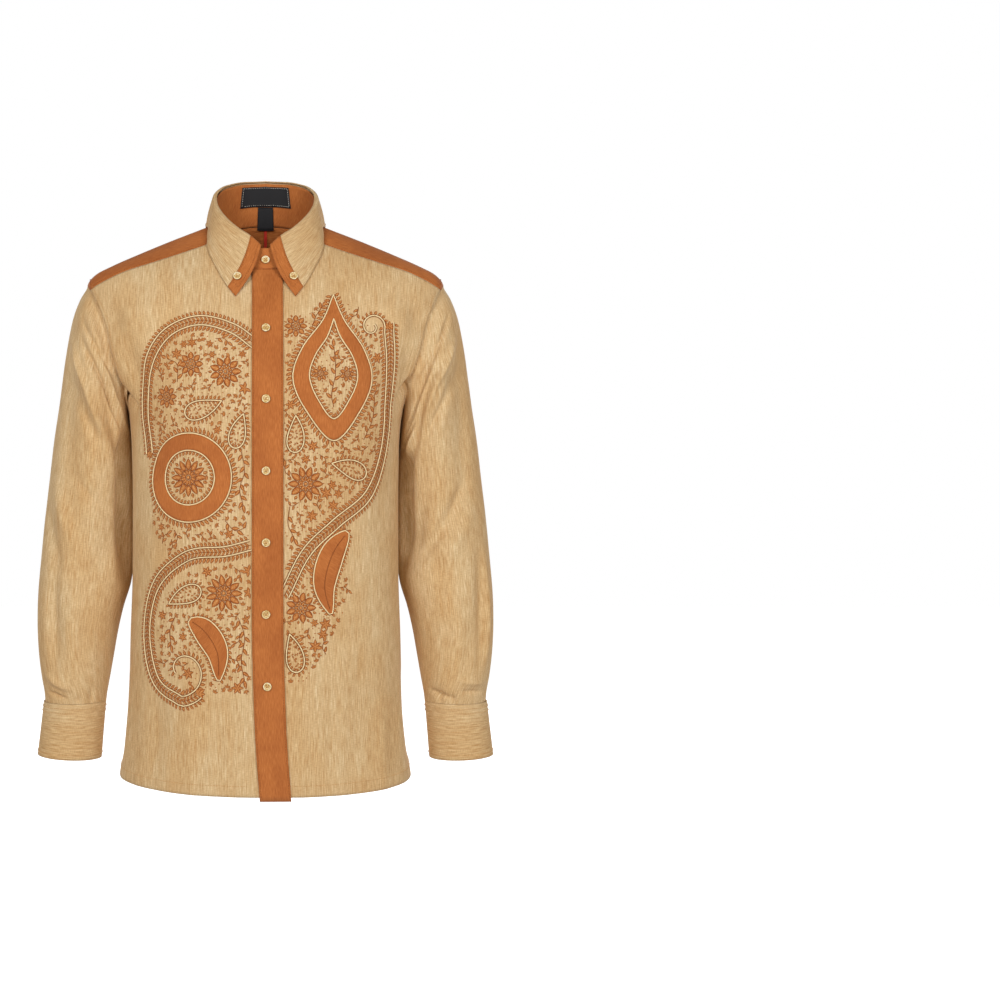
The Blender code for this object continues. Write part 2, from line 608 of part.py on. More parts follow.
def make_collar(parts):
    angles = np.radians(np.linspace(360 + STAND_UNDER_END, STAND_TOP_END, STAND_COLUMNS + 1))
    stand = np.stack([stand_point(angles, share) for share in np.linspace(0, 1, STAND_ROWS + 1)])
    cloth("collar_stand", stand, RUST_CLOTH, parts, flip=True)
    front = np.linspace(COLLAR_BAND, COLLAR_FRONT_END, LEAF_FRONT_COLUMNS + 1)
    leaf = np.concatenate([front, np.linspace(COLLAR_FRONT_END, 1, LEAF_BACK_COLUMNS + 1)[1:]])
    halves = [leaf_half(leaf, side) for side in (-1, 1)]
    whole = np.concatenate([halves[0], halves[1][:, -2::-1]], 1)
    cloth("collar_leaf", trimmed(whole), LINEN, parts)
    band = np.linspace(0, COLLAR_BAND, 3)
    for side, name in ((1, "left"), (-1, "right")):
        points = trimmed(leaf_half(band, side))
        cloth(f"collar_band_{name}", points, RUST_CLOTH, parts, flip=side > 0)


def leaf_half(places, side):
    """Rows of one half of the collar leaf, from inside its top fold out and down to its edge."""
    fold_angle, height = np.radians(smooth(COLLAR_FOLD, 1, places)), smooth(COLLAR_FOLD, 2, places)
    edge = body_point(
        np.radians(smooth(COLLAR_EDGE, 1, places)),
        smooth(COLLAR_EDGE, 2, places),
        WALL + 2 * LAP_GAP,
    )
    rows = [fold_ring(fold_angle, height - drop, scale) for scale, drop in FOLD_ROWS]
    outside = rows[-1]
    outward = unit(edge * np.array([1, 1, 0]))
    bow = COLLAR_BOW * np.clip(1 - places / COLLAR_FRONT_END, 0, 1)
    for share in LEAF_SHARES:
        swell = math.sin(math.pi * share)
        row = outside + (edge - outside) * share + outward * COLLAR_BULGE * swell
        row[..., 0] -= bow * swell
        rows.append(row)
    return mirrored(np.stack(rows), side)


def make_label(parts):
    """A blank woven label and its size tab, on the inside of the back of the stand."""
    inward = -(WALL + LAP_GAP)

    def strip(half_angle, bottom, top, columns):
        angles = math.pi + np.radians(np.linspace(-half_angle, half_angle, columns))
        shares = np.linspace(bottom, top, LABEL_ROWS + 1)
        return np.stack([stand_point(angles, share, inward, lapped=False) for share in shares])

    main = strip(LABEL_ANGLE, LABEL_BOTTOM, LABEL_TOP, LABEL_COLUMNS + 1)
    tab = strip(TAB_ANGLE, TAB_BOTTOM, LABEL_BOTTOM - TAB_GAP, TAB_COLUMNS + 1)
    cloth("neck_label", main, LABEL_TAPE, parts, TRIM_WALL)
    cloth("size_tab", tab, LABEL_TAPE, parts, TRIM_WALL)


def button_mesh():
    """A turned button with a raised rim and a dished middle, standing on its flat back."""
    rim, bowl = BUTTON_RADIUS, BUTTON_RADIUS * 0.66
    profile = [
        (0, 0.0016),
        (bowl, 0.0016),
        (bowl + 0.0007, BUTTON_HEIGHT),
        (rim - 0.0004, BUTTON_HEIGHT - 0.0001),
        (rim, 0.0014),
        (rim * 0.8, 0),
        (0, 0),
    ]
    mesh = bpy.data.meshes.new("button profile")
    points = [(x, 0, z) for x, z in profile]
    mesh.from_pydata(points, [(i, i + 1) for i in range(len(points) - 1)], [])
    turned = bpy.data.objects.new("button profile", mesh)
    bpy.context.scene.collection.objects.link(turned)
    screw = turned.modifiers.new("turn", "SCREW")
    screw.steps = screw.render_steps = BUTTON_STEPS
    screw.use_merge_vertices = True
    screw.merge_threshold = 0.00005
    graph = bpy.context.evaluated_depsgraph_get()
    made = bpy.data.meshes.new_from_object(turned.evaluated_get(graph))
    made.name = "button"
    made.shade_smooth()
    made.set_sharp_from_angle(angle=math.radians(40))
    made.materials.append(material(HORN))
    bpy.data.objects.remove(turned)
    return made


def place_button(name, mesh, seat, outward, parts):
    made = bpy.data.objects.new(name, mesh)
    made.location = Vector(seat)
    made.rotation_mode = "QUATERNION"
    made.rotation_quaternion = Vector(outward).to_track_quat("Z", "Y")
    parts.objects.link(made)


def seat_on(surface, gap):
    """A button's seat and direction; surface(out) is the cloth's point moved out by that much."""
    low, high = surface(0.0), surface(0.01)
    outward = unit(high - low)
    return low + outward * gap, outward


def make_buttons(parts):
    mesh = button_mesh()
    over_placket = WALL + LAP_GAP

    def on_placket(height):
        x = smooth(PLACKET_LINE, 1, height) + FRONT_BUTTON_ASIDE
        return lambda out: body_point(angle_at(x, height), height, over_placket + out)

    for i in range(FRONT_BUTTONS):
        height = np.float64(FRONT_BUTTON_TOP - i * FRONT_BUTTON_PITCH)
        place_button(f"button_front_{i + 1}", mesh, *seat_on(on_placket(height), BUTTON_GAP), parts)
    place_button("button_stand", mesh, *stand_button_seat(), parts)
    for side, name in ((1, "left"), (-1, "right")):
        place_button(f"button_collar_{name}", mesh, *collar_button_seat(side), parts)
        make_cuff_buttons(mesh, side, name, parts)


def stand_button_seat():
    middle = stand_point(np.zeros(1), STAND_BUTTON_SHARE)[0]
    above = stand_point(np.zeros(1), 1.0)[0]
    outward = unit(np.cross((1.0, 0.0, 0.0), above - middle))
    return middle + outward * BUTTON_GAP, outward


def collar_button_seat(side):
    """A seat on the collar leaf near its tip, where the leaf buttons down to the front."""
    spread = 0.004
    places = COLLAR_BUTTON_PLACE + np.array([-spread, 0, spread])
    near, below = leaf_half(places, side)[-2:]
    middle = near[1] + (below[1] - near[1]) * COLLAR_BUTTON_SHARE
    along = near[2] - near[0]
    down = below[1] - near[1]
    outward = unit(np.cross(down, along) * side)
    return middle + outward * BUTTON_GAP, outward


def make_cuff_buttons(mesh, side, name, parts):
    def place(label, surface):
        seat, outward = seat_on(surface, BUTTON_GAP)
        place_button(label, mesh, mirrored(seat, side), mirrored(outward, side), parts)

    for i, height in enumerate(CUFF_BUTTON_HEIGHTS):
        place(f"button_cuff_{name}_{i + 1}", on_cuff(np.float64(height)))
    place(f"button_sleeve_{name}", on_sleeve_placket)


def on_cuff(height):
    return lambda out: cuff_point(CUFF_BUTTON_TURN, height, out)


def on_sleeve_placket(out):
    turn = np.array([SLEEVE_PLACKET_TURN])
    return sleeve_point(SLEEVE_BUTTON_RING, turn, TRIM_WALL + LAP_GAP + out)[0]


def main():
    for old in list(bpy.data.objects):
        bpy.data.objects.remove(old)
    parts = bpy.data.collections.new("linen shirt")
    bpy.context.scene.collection.children.link(parts)
    make_body(parts)
    make_sleeves(parts)
    make_collar(parts)
    make_label(parts)
    make_buttons(parts)


main()
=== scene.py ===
import math

import bmesh
import bpy
import numpy as np
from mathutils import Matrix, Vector


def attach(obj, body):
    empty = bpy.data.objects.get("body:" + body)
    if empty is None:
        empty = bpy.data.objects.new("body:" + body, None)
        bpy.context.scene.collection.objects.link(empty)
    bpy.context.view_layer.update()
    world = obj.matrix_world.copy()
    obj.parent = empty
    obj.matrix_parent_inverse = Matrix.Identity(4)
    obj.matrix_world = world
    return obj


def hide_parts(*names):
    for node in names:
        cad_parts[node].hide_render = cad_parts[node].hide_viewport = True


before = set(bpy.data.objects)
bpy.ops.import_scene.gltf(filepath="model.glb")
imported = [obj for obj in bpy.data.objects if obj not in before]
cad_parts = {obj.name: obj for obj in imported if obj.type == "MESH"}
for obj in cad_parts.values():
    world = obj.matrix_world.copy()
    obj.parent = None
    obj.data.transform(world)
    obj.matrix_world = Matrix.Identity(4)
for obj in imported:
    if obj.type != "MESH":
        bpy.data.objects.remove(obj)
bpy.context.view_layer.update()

# The shirt's own sizes, the same as its solids have.
WALL = 0.0015
TRIM_WALL = 0.0011
SEAM_GAP = 0.0003
LAP_GAP = 0.0006
# how far the outer face of a second layer, or of a strip, stands out from the cloth under it
LAP_HEIGHT, STRIP_HEIGHT = WALL + LAP_GAP, TRIM_WALL + LAP_GAP

# height, half width, depth in front of the middle, depth behind it
BODY = np.array([
    (-0.7400, 0.1945, 0.1310, 0.1185),
    (-0.7270, 0.1935, 0.1310, 0.1180),
    (-0.6900, 0.1875, 0.1295, 0.1160),
    (-0.6300, 0.1820, 0.1280, 0.1130),
    (-0.5400, 0.1795, 0.1265, 0.1090),
    (-0.4600, 0.1770, 0.1255, 0.1050),
    (-0.3600, 0.1768, 0.1260, 0.1060),
    (-0.3000, 0.1780, 0.1262, 0.1100),
    (-0.2550, 0.1815, 0.1255, 0.1130),
    (-0.2000, 0.2040, 0.1215, 0.1140),
    (-0.1665, 0.2200, 0.1155, 0.1130),
    (-0.1300, 0.2330, 0.1055, 0.1100),
    (-0.1000, 0.2392, 0.0920, 0.1060),
    (-0.0850, 0.2390, 0.0840, 0.1025),
    (-0.0780, 0.2370, 0.0795, 0.1005),
    (-0.0675, 0.2285, 0.0725, 0.0985),
    (-0.0552, 0.2060, 0.0640, 0.0960),
    (-0.0414, 0.1755, 0.0530, 0.0925),
    (-0.0214, 0.1290, 0.0350, 0.0865),
    (-0.0020, 0.0810, 0.0160, 0.0790),
    (0.0100, 0.0520, 0.0080, 0.0735),
    (0.0300, 0.0150, 0.0030, 0.0500),
])
FRONT_SQUARENESS, BACK_SQUARENESS = 2.35, 2.6
GIRTH_RADIUS = 0.155

# lowest edge at the middle of the front, the side seams and the middle of the back
HEM_FRONT, HEM_SIDE, HEM_BACK = -0.7345, -0.7245, -0.7330
CHEST_FRONT, CHEST_SIDE, CHEST_BACK = -0.2700, -0.2555, -0.2700

NECK_HALF_WIDTH, NECK_FRONT, NECK_BACK = 0.0760, 0.0750, 0.0700
NECK_EDGE_HEIGHT = -0.0700
# the neck seam is looked for between these heights, by this many halvings
NECK_LOWEST, NECK_HIGHEST, NECK_HALVINGS = -0.11, 0.029, 40
ARMHOLE_MIDDLE, ARMHOLE_HALF_HEIGHT = -0.1665, 0.0885
ARMHOLE_FRONT, ARMHOLE_BACK = 0.0580, 0.0560
YOKE_FRONT_TURN, YOKE_BACK_TURN = 30, -105
YOKE_NECK_ANGLE = 60.4
YOKE_BACK_MIDDLE = -0.1720
# the line that the yoke's threads are laid round: its height and the distance to the cloth
YOKE_AXIS_HEIGHT, YOKE_AXIS_RADIUS = -0.20, 0.16
# distance from the middle and height of the seam between front and yoke
YOKE_FRONT = np.array([
    (0.0660, -0.0315),
    (0.0985, -0.0445),
    (0.1398, -0.0590),
    (0.1762, -0.0700),
    (0.2042, -0.0810),
    (0.2275, -0.0899),
])

PLACKET_WIDTH = 0.0390
PLACKET_DROP = 0.0045
# the fronts' edges under the placket, from its middle line
FRONT_UNDER_EDGE, FRONT_OVER_EDGE = -0.0148, 0.0163
# height and distance of the placket's middle line from the middle of the shirt
PLACKET_LINE = np.array([(-0.7400, 0.0125), (-0.6500, 0.0062), (-0.5200, 0.0027), (0.0, 0.0025)])

# For each side: start angle, start height, end angle, end height, half width, rise.
# The angle is in degrees from the middle of the front, and behind the side seams it passes 90.
BODY_FOLDS = np.array([
    (-63, -0.238, -47, -0.115, 0.018, -0.0045),
    (-78, -0.215, -62, -0.120, 0.014, 0.0035),
    (-52, -0.345, -70, -0.262, 0.022, -0.0030),
    (-54, -0.735, -58, -0.560, 0.016, -0.0035),
    (-74, -0.735, -77, -0.600, 0.014, 0.0030),
    (64, -0.236, 50, -0.125, 0.018, -0.0045),
    (78, -0.215, 63, -0.118, 0.014, 0.0035),
    (60, -0.400, 76, -0.275, 0.020, -0.0030),
    (44, -0.735, 50, -0.580, 0.020, -0.0030),
    (70, -0.735, 74, -0.610, 0.014, 0.0030),
    (-116, -0.165, -112, -0.300, 0.017, -0.0045),
    (-130, -0.150, -124, -0.270, 0.018, 0.0025),
    (115, -0.170, 111, -0.310, 0.017, -0.0045),
    (129, -0.155, 123, -0.265, 0.018, 0.0025),
    (-150, -0.735, -140, -0.480, 0.020, -0.0035),
    (152, -0.735, 142, -0.450, 0.020, -0.0035),
    (176, -0.735, 170, -0.520, 0.022, 0.0030),
    # finer creases: beside the armholes, front then back
    (-74, -0.112, -67, -0.163, 0.010, -0.0055),
    (-67, -0.163, -64, -0.225, 0.012, -0.0062),
    (-86, -0.188, -70.5, -0.247, 0.0042, -0.0130),
    (-88, -0.180, -72, -0.254, 0.0090, -0.0050),
    (72, -0.115, 68, -0.165, 0.009, -0.0048),
    (68, -0.165, 72, -0.222, 0.010, -0.0052),
    (81, -0.190, 71, -0.235, 0.0042, -0.0125),
    (84, -0.180, 72, -0.242, 0.0090, -0.0048),
    (100, -0.196, 104, -0.248, 0.0056, -0.0090),
    (-100, -0.196, -104, -0.248, 0.0056, -0.0090),
    (110, -0.122, 107, -0.182, 0.011, -0.0040),
    (-110, -0.122, -107, -0.182, 0.011, -0.0040),
    (116, -0.095, 122, -0.128, 0.006, 0.0018),
    (-117, -0.098, -124, -0.136, 0.006, 0.0018),
    (128, -0.090, 136, -0.118, 0.006, -0.0016),
    (-131, -0.086, -138, -0.112, 0.006, -0.0016),
    # pulls from the armholes' feet and long slack folds down the back
    (-112, -0.240, -148, -0.205, 0.011, -0.0030),
    (113, -0.238, 146, -0.212, 0.011, -0.0028),
    (-108, -0.255, -128, -0.345, 0.012, -0.0045),
    (108, -0.258, 129, -0.350, 0.012, -0.0045),
    (-118, -0.340, -121, -0.560, 0.016, 0.0035),
    (119, -0.360, 121, -0.580, 0.016, 0.0035),
    (-160, -0.700, -153, -0.330, 0.020, -0.0035),
    (166, -0.690, 158, -0.340, 0.022, 0.0030),
    # short wrinkles across the yoke's back
    (160, -0.050, 140, -0.120, 0.006, 0.0020),
    (167, -0.080, 150, -0.148, 0.007, -0.0018),
    (-155, -0.055, -139, -0.108, 0.006, -0.0018),
    (-146, -0.062, -128, -0.112, 0.006, 0.0016),
    (-113, -0.112, -122, -0.166, 0.006, 0.0022),
    (112, -0.106, 122, -0.160, 0.006, -0.0022),
    # ripples that rise from the hem
    (-24, -0.735, -26, -0.640, 0.010, -0.0018),
    (-37, -0.735, -41, -0.590, 0.009, 0.0018),
    (20, -0.735, 19, -0.655, 0.009, 0.0016),
    (33, -0.735, 36, -0.600, 0.010, -0.0020),
    (58, -0.735, 61, -0.630, 0.009, 0.0020),
    (86, -0.735, 84, -0.600, 0.010, -0.0022),
    (-88, -0.735, -87, -0.590, 0.010, -0.0022),
    (104, -0.735, 101, -0.580, 0.012, 0.0030),
    (118, -0.735, 116, -0.610, 0.010, -0.0026),
    (131, -0.735, 127, -0.560, 0.011, 0.0028),
    (164, -0.735, 162, -0.600, 0.012, -0.0024),
    (-106, -0.735, -103, -0.600, 0.012, 0.0028),
    (-121, -0.735, -118, -0.570, 0.011, -0.0028),
    (-134, -0.735, -131, -0.620, 0.010, 0.0024),
    (-167, -0.735, -166, -0.580, 0.012, -0.0024),
    # slack across the waist
    (-30, -0.470, -58, -0.430, 0.012, -0.0014),
    (26, -0.560, 58, -0.520, 0.013, -0.0014),
    (150, -0.420, 118, -0.370, 0.014, -0.0018),
    (-146, -0.460, -116, -0.400, 0.014, -0.0018),
])

# inner x and z, outer x and z, half depth, middle y of each ring down the sleeve, below the armhole
SLEEVE = np.array([
    (0.1812, -0.2670, 0.2475, -0.0985, 0.0600, 0.0010),
    (0.1797, -0.2830, 0.2568, -0.1220, 0.0635, 0.0030),
    (0.1787, -0.3030, 0.2640, -0.1530, 0.0655, 0.0070),
    (0.1779, -0.3270, 0.2710, -0.1920, 0.0660, 0.0120),
    (0.1775, -0.3530, 0.2776, -0.2370, 0.0655, 0.0170),
    (0.1775, -0.3810, 0.2855, -0.2860, 0.0645, 0.0200),
    (0.1776, -0.4110, 0.2916, -0.3370, 0.0635, 0.0210),
    (0.1780, -0.4430, 0.2975, -0.3890, 0.0625, 0.0190),
    (0.1816, -0.4760, 0.3018, -0.4400, 0.0615, 0.0150),
    (0.1912, -0.5090, 0.3050, -0.4890, 0.0600, 0.0090),
    (0.1980, -0.5410, 0.3050, -0.5310, 0.0575, 0.0030),
    (0.2030, -0.5730, 0.3022, -0.5680, 0.0535, -0.0030),
    (0.2072, -0.6000, 0.2978, -0.5980, 0.0480, -0.0080),
    (0.2105, -0.6200, 0.2936, -0.6190, 0.0420, -0.0110),
    (0.2119, -0.6320, 0.2925, -0.6320, 0.0378, -0.0120),
])
CAP_RING_SCALE = 0.93
SLEEVE_SPACING, SLEEVE_RADIUS = 0.032, 0.055
# how much deeper the sleeves' finer creases are than their tables say, and the share of its depth
# that any fold or crease keeps at its ends
CREASE_DEPTH, CREASE_END = 1.55, 0.35
# x and z of both ends of the line that the sleeve's threads run along
SLEEVE_AXIS = ((0.2110, -0.1000), (0.2540, -0.6320))
# start ring, start turn, end ring, end turn, half width, rise; turn 0 is outermost and 90 in front
SLEEVE_FOLDS = np.array([
    (3.0, 104, 6.0, 150, 0.012, -0.0060),
    (1.5, 70, 8.5, 104, 0.014, 0.0040),
    (3.0, 34, 9.0, 72, 0.014, -0.0040),
    (8.5, 130, 11.0, 84, 0.014, -0.0035),
    (11.0, 60, 14.0, 92, 0.013, -0.0030),
    (2.5, -70, 7.0, -112, 0.013, 0.0035),
    (3.0, -110, 6.5, -150, 0.012, -0.0050),
    (9.0, -60, 12.0, -105, 0.014, -0.0035),
    (13.2, -36, 16.0, -40, 0.008, -0.0050),
    (13.5, -140, 16.0, -130, 0.009, -0.0035),
])
# the same columns for the finer creases of both sleeves, and of each one alone
BOTH_SLEEVE_CREASES = [
    (1.8, -48, 2.7, -72, 0.009, 0.0045),
    (2.7, -72, 2.4, -102, 0.008, 0.0040),
    (2.4, -102, 2.1, -134, 0.007, 0.0030),
    (2.2, -84, 1.7, -116, 0.0050, -0.0035),
    (1.7, -116, 1.4, -150, 0.0050, -0.0040),
    (4.0, -74, 5.5, -95, 0.009, -0.0035),
    (5.5, -95, 6.7, -114, 0.009, -0.0030),
    (4.6, -148, 7.0, -152, 0.012, -0.0080),
    (7.0, -152, 9.6, -154, 0.012, -0.0080),
    (15.9, 128, 14.6, 126, 0.0050, -0.0022),
    (15.9, 104, 15.0, 100, 0.0040, -0.0018),
    (15.9, 24, 14.8, 28, 0.0040, -0.0018),
    (15.9, -8, 14.6, -4, 0.0045, -0.0020),
    (11.2, -52, 11.5, -100, 0.0070, 0.0032),
    (11.7, -50, 11.3, -20, 0.0060, 0.0022),
    (10.5, -46, 10.9, -94, 0.0080, -0.0032),
    (12.0, -102, 13.5, -114, 0.0080, -0.0028),
    (13.6, -50, 15.9, -46, 0.0050, -0.0030),
    (13.8, -100, 15.9, -96, 0.0050, -0.0028),
    (14.6, -116, 15.9, -114, 0.0045, -0.0024),
]
RIGHT_SLEEVE_CREASES = [
    (1.5, 42, 1.8, 100, 0.011, 0.0050),
    (1.8, 100, 2.5, 146, 0.008, 0.0040),
    (2.2, 60, 1.5, 114, 0.0045, -0.0035),
    (3.0, 62, 2.8, 104, 0.008, -0.0045),
    (2.8, 104, 3.3, 134, 0.007, -0.0045),
    (3.8, 36, 4.3, 80, 0.009, 0.0045),
    (4.3, 80, 5.1, 114, 0.009, 0.0035),
    (5.3, 28, 5.0, 74, 0.010, -0.0040),
    (5.0, 74, 5.7, 102, 0.010, -0.0035),
    (3.2, 158, 6.4, 142, 0.013, -0.0100),
    (6.4, 142, 9.6, 152, 0.013, -0.0100),
    (7.4, 72, 7.8, 122, 0.0065, -0.0022),
    (8.1, 44, 9.3, 76, 0.009, 0.0035),
    (8.3, 86, 8.2, 118, 0.009, 0.0022),
    (8.7, 26, 10.0, 60, 0.010, -0.0035),
    (9.9, 54, 13.3, 64, 0.009, -0.0040),
    (9.8, 92, 14.2, 88, 0.012, 0.0025),
    (13.9, 44, 14.6, 86, 0.0065, 0.0032),
    (14.9, 46, 15.3, 78, 0.0045, -0.0036),
]
LEFT_SLEEVE_CREASES = [
    (1.0, 62, 1.2, 100, 0.010, 0.0040),
    (1.9, 80, 1.2, 118, 0.0050, -0.0035),
    (2.2, 48, 2.2, 92, 0.007, -0.0040),
    (2.2, 92, 2.4, 122, 0.007, -0.0040),
    (2.4, 122, 3.2, 146, 0.007, -0.0040),
    (3.5, 50, 3.5, 94, 0.009, 0.0048),
    (3.5, 94, 4.4, 116, 0.009, 0.0038),
    (5.1, 22, 4.5, 70, 0.009, -0.0038),
    (4.5, 70, 5.1, 108, 0.009, -0.0040),
    (3.5, 132, 4.0, 164, 0.0045, -0.0040),
    (3.9, 126, 4.6, 156, 0.0055, 0.0030),
    (4.4, 158, 6.4, 148, 0.013, -0.0100),
    (6.4, 148, 9.2, 154, 0.013, -0.0100),
    (7.8, 62, 8.5, 92, 0.007, -0.0040),
    (8.5, 92, 9.2, 120, 0.007, -0.0035),
    (8.7, 58, 9.5, 94, 0.010, 0.0035),
    (7.6, 122, 9.6, 138, 0.012, -0.0045),
    (9.8, 48, 13.4, 58, 0.009, -0.0036),
    (10.0, 36, 13.2, 42, 0.006, 0.0022),
    (9.9, 92, 14.4, 90, 0.012, 0.0020),
    (14.1, 88, 14.3, 44, 0.0055, 0.0030),
    (14.7, 84, 14.9, 46, 0.0045, -0.0026),
    (14.7, 146, 15.3, 104, 0.006, -0.0032),
]

# height, half width, half depth, middle x and middle y down the cuff
CUFF = np.array([
    (-0.7045, 0.0416, 0.0378, 0.2592, -0.0145),
    (-0.6700, 0.0410, 0.0374, 0.2560, -0.0132),
    (-0.6322, 0.0405, 0.0376, 0.2524, -0.0120),
])
CUFF_TILT = 0.0022
CUFF_START, CUFF_END = 296, -86

SLEEVE_PLACKET_TURN, SLEEVE_PLACKET_WIDTH = -75, 0.0220
SLEEVE_PLACKET_TOP, SLEEVE_PLACKET_RADIUS = 11.75, 0.048
SLEEVE_PLACKET_SHORT = 0.06

# place along half the collar, angle round the neck and height of its top fold
COLLAR_FOLD = np.array([
    (0.00, 4.3, -0.0380),
    (0.07, 15.5, -0.0258),
    (0.20, 32.0, -0.0125),
    (0.33, 50.0, 0.0040),
    (0.50, 84.0, 0.0345),
    (0.60, 103.0, 0.0510),
    (0.70, 124.0, 0.0645),
    (0.85, 152.0, 0.0735),
    (1.00, 180.0, 0.0760),
])
# place along half the collar, angle round the body, height of its lower edge and its outer face's
# distance from the cloth below, least where the leaf stands on the shoulder
COLLAR_EDGE = np.array([
    (0.00, 21.6, -0.1090, 0.0021),
    (0.07, 28.3, -0.0960, 0.0021),
    (0.20, 43.0, -0.0655, 0.0021),
    (0.33, 59.0, -0.0370, 0.0021),
    (0.42, 70.0, -0.0195, 0.0014),
    (0.50, 88.0, -0.0015, 0.0011),
    (0.70, 128.0, -0.0040, 0.0021),
    (1.00, 180.0, 0.0060, 0.0021),
])
COLLAR_BAND, COLLAR_FRONT_END = 0.07, 0.33
COLLAR_BULGE, COLLAR_BOW = 0.0015, 0.0060
FOLD_HALF_WIDTH, FOLD_FRONT, FOLD_BACK = 0.0680, 0.0705, 0.0600
# the rows that turn the cloth over its top fold: scale of the fold's oval, drop below it
FOLD_ROWS = (
    (0.955, 0.0006),
    (0.970, 0.00005),
    (0.985, -0.0001),
    (0.998, 0.0),
    (1.015, 0.0003),
    (1.032, 0.0010),
    (1.045, 0.0020),
)
LEAF_SHARES = np.linspace(0, 1, 25)[1:]
STAND_BELOW_FOLD, STAND_TOP_SCALE = 0.0042, 0.965
STAND_RAISE = 2.3 * SEAM_GAP
STAND_UNDER_END, STAND_TOP_END = 12, -14
STAND_LAP_START, STAND_LAP_LENGTH = 100, 75
CUFF_LAP_START, CUFF_LAP_LENGTH = 60, 90

LABEL_ANGLE, LABEL_BOTTOM, LABEL_TOP = 33, 0.46, 0.93
LABEL_BORDER, LABEL_BORDER_HEIGHT, LABEL_STITCH_PITCH = 0.95, 0.86, 0.0030
TAB_ANGLE, TAB_BOTTOM, TAB_GAP = 9.5, -0.10, 0.01
RED_TAPE_ANGLE, RED_TAPE_FOOT, RED_TAPE_DROP, RED_TAPE_WALL = 1.5, -0.016, 0.001, 0.0006

BUTTON_RADIUS, BUTTON_HEIGHT, BUTTON_GAP = 0.0054, 0.0024, 0.0004
FRONT_BUTTON_TOP, FRONT_BUTTON_PITCH, FRONT_BUTTONS = -0.1515, 0.0891, 6
FRONT_BUTTON_ASIDE = -0.0020
STAND_BUTTON_SHARE = 0.42
COLLAR_BUTTON_PLACE, COLLAR_BUTTON_SPREAD = 0.052, 0.004
COLLAR_BUTTON_ROWS, COLLAR_BUTTON_SHARE = (0.65, 1.0), 0.30
CUFF_BUTTON_TURN, CUFF_BUTTON_HEIGHTS = -73.0, (-0.6560, -0.6850)
SLEEVE_BUTTON_RING = 14.35
# the dark discs of painted shade in the holes: radius, thickness, distance from the button's middle and
# height over its foot
HOLE_RADIUS, HOLE_WALL, HOLE_REACH, HOLE_HEIGHT = 0.00072, 0.00012, 0.00125, 0.00128
THREAD_HEIGHTS, THREAD_STRETCH = (0.00155, 0.0018), 1.45

# rows and columns of the visible cloth, fine enough for its creases
FRONT_NECK_COLUMNS, FRONT_YOKE_COLUMNS, BACK_COLUMNS = 34, 46, 62
LOW_ROWS, FRONT_ARM_ROWS, BACK_ARM_ROWS = 116, 60, 26
YOKE_ARM_COLUMNS, YOKE_BACK_COLUMNS, YOKE_ROWS = 46, 46, 34
PLACKET_COLUMNS, SLEEVE_COLUMNS, SLEEVE_ROWS, CUFF_COLUMNS, CUFF_ROWS = 12, 150, 180, 96, 24
STAND_COLUMNS, STAND_ROWS, LEAF_COLUMNS, BAND_COLUMNS = 160, 16, 96, 8
EDGE_GAP = 0.0001
# sets the back's threads apart from the fronts'
BACK_UV = 3.0
HEM_TURNING, HEM_RISE, HEM_STEP = 0.015, 0.0006, 0.003
STITCH_PITCH, STITCH_LIFT = 0.0034, 0.00012
# how far the rows of stitches lie inside the edges that they follow
PLACKET_STITCH_INSET, PLACKET_STITCH_TOP = 0.0022, -0.095
HEM_STITCH_INSET, YOKE_STITCH_INSET, ARMHOLE_STITCH_SCALE = 0.001, 0.0030, 1.075


def smooth(table, column, at):
    """The table's column at these places, on a cubic that never overshoots its rows."""
    x, y = table[:, 0], table[:, column]
    step, slope = np.diff(x), np.diff(y) / np.diff(x)
    same_way = slope[:-1] * slope[1:] > 0
    total = np.where(same_way, slope[:-1] + slope[1:], 1.0)
    inner = np.where(same_way, 2 * slope[:-1] * slope[1:] / total, 0.0)
    tangent = np.concatenate(([slope[0]], inner, [slope[-1]]))
    at = np.clip(at, x[0], x[-1])
    i = np.clip(np.searchsorted(x, at) - 1, 0, len(x) - 2)
    t = (at - x[i]) / step[i]
    rise = y[i + 1] - y[i]
    return (
        y[i]
        + rise * t * t * (3 - 2 * t)
        + step[i] * t * (1 - t) * (tangent[i] * (1 - t) - tangent[i + 1] * t)
    )


def unit(vectors):
    return vectors / np.linalg.norm(vectors, axis=-1, keepdims=True)


def creases(folds, across, along):
    """How far the folds lift these points of flattened cloth; each fold fades out at its ends."""
    lift = np.zeros(np.shape(across))
    for x0, y0, x1, y1, half_width, rise in folds:
        dx, dy = x1 - x0, y1 - y0
        share = ((across - x0) * dx + (along - y0) * dy) / (dx * dx + dy * dy)
        near = np.clip(share, 0, 1)
        away = np.hypot(across - x0 - near * dx, along - y0 - near * dy)
        fade = CREASE_END + (1 - CREASE_END) * np.sin(np.pi * near)
        lift = lift + rise * fade * np.exp(-((away / half_width) ** 2))
    return lift


def section_radius(angle, height):
    """Distance of the body's cloth from the middle line at this angle from the front."""
    front = np.cos(angle) > 0
    power = np.where(front, FRONT_SQUARENESS, BACK_SQUARENESS)
    depth = np.where(front, smooth(BODY, 2, height), smooth(BODY, 3, height))
    side = np.abs(np.sin(angle)) / smooth(BODY, 1, height)
    middle = np.abs(np.cos(angle)) / depth
    return (side**power + middle**power) ** (-1 / power)


def body_base(angle, height):
    radius = section_radius(angle, height)
    return np.stack([radius * np.sin(angle), -radius * np.cos(angle), height + 0 * angle], -1)


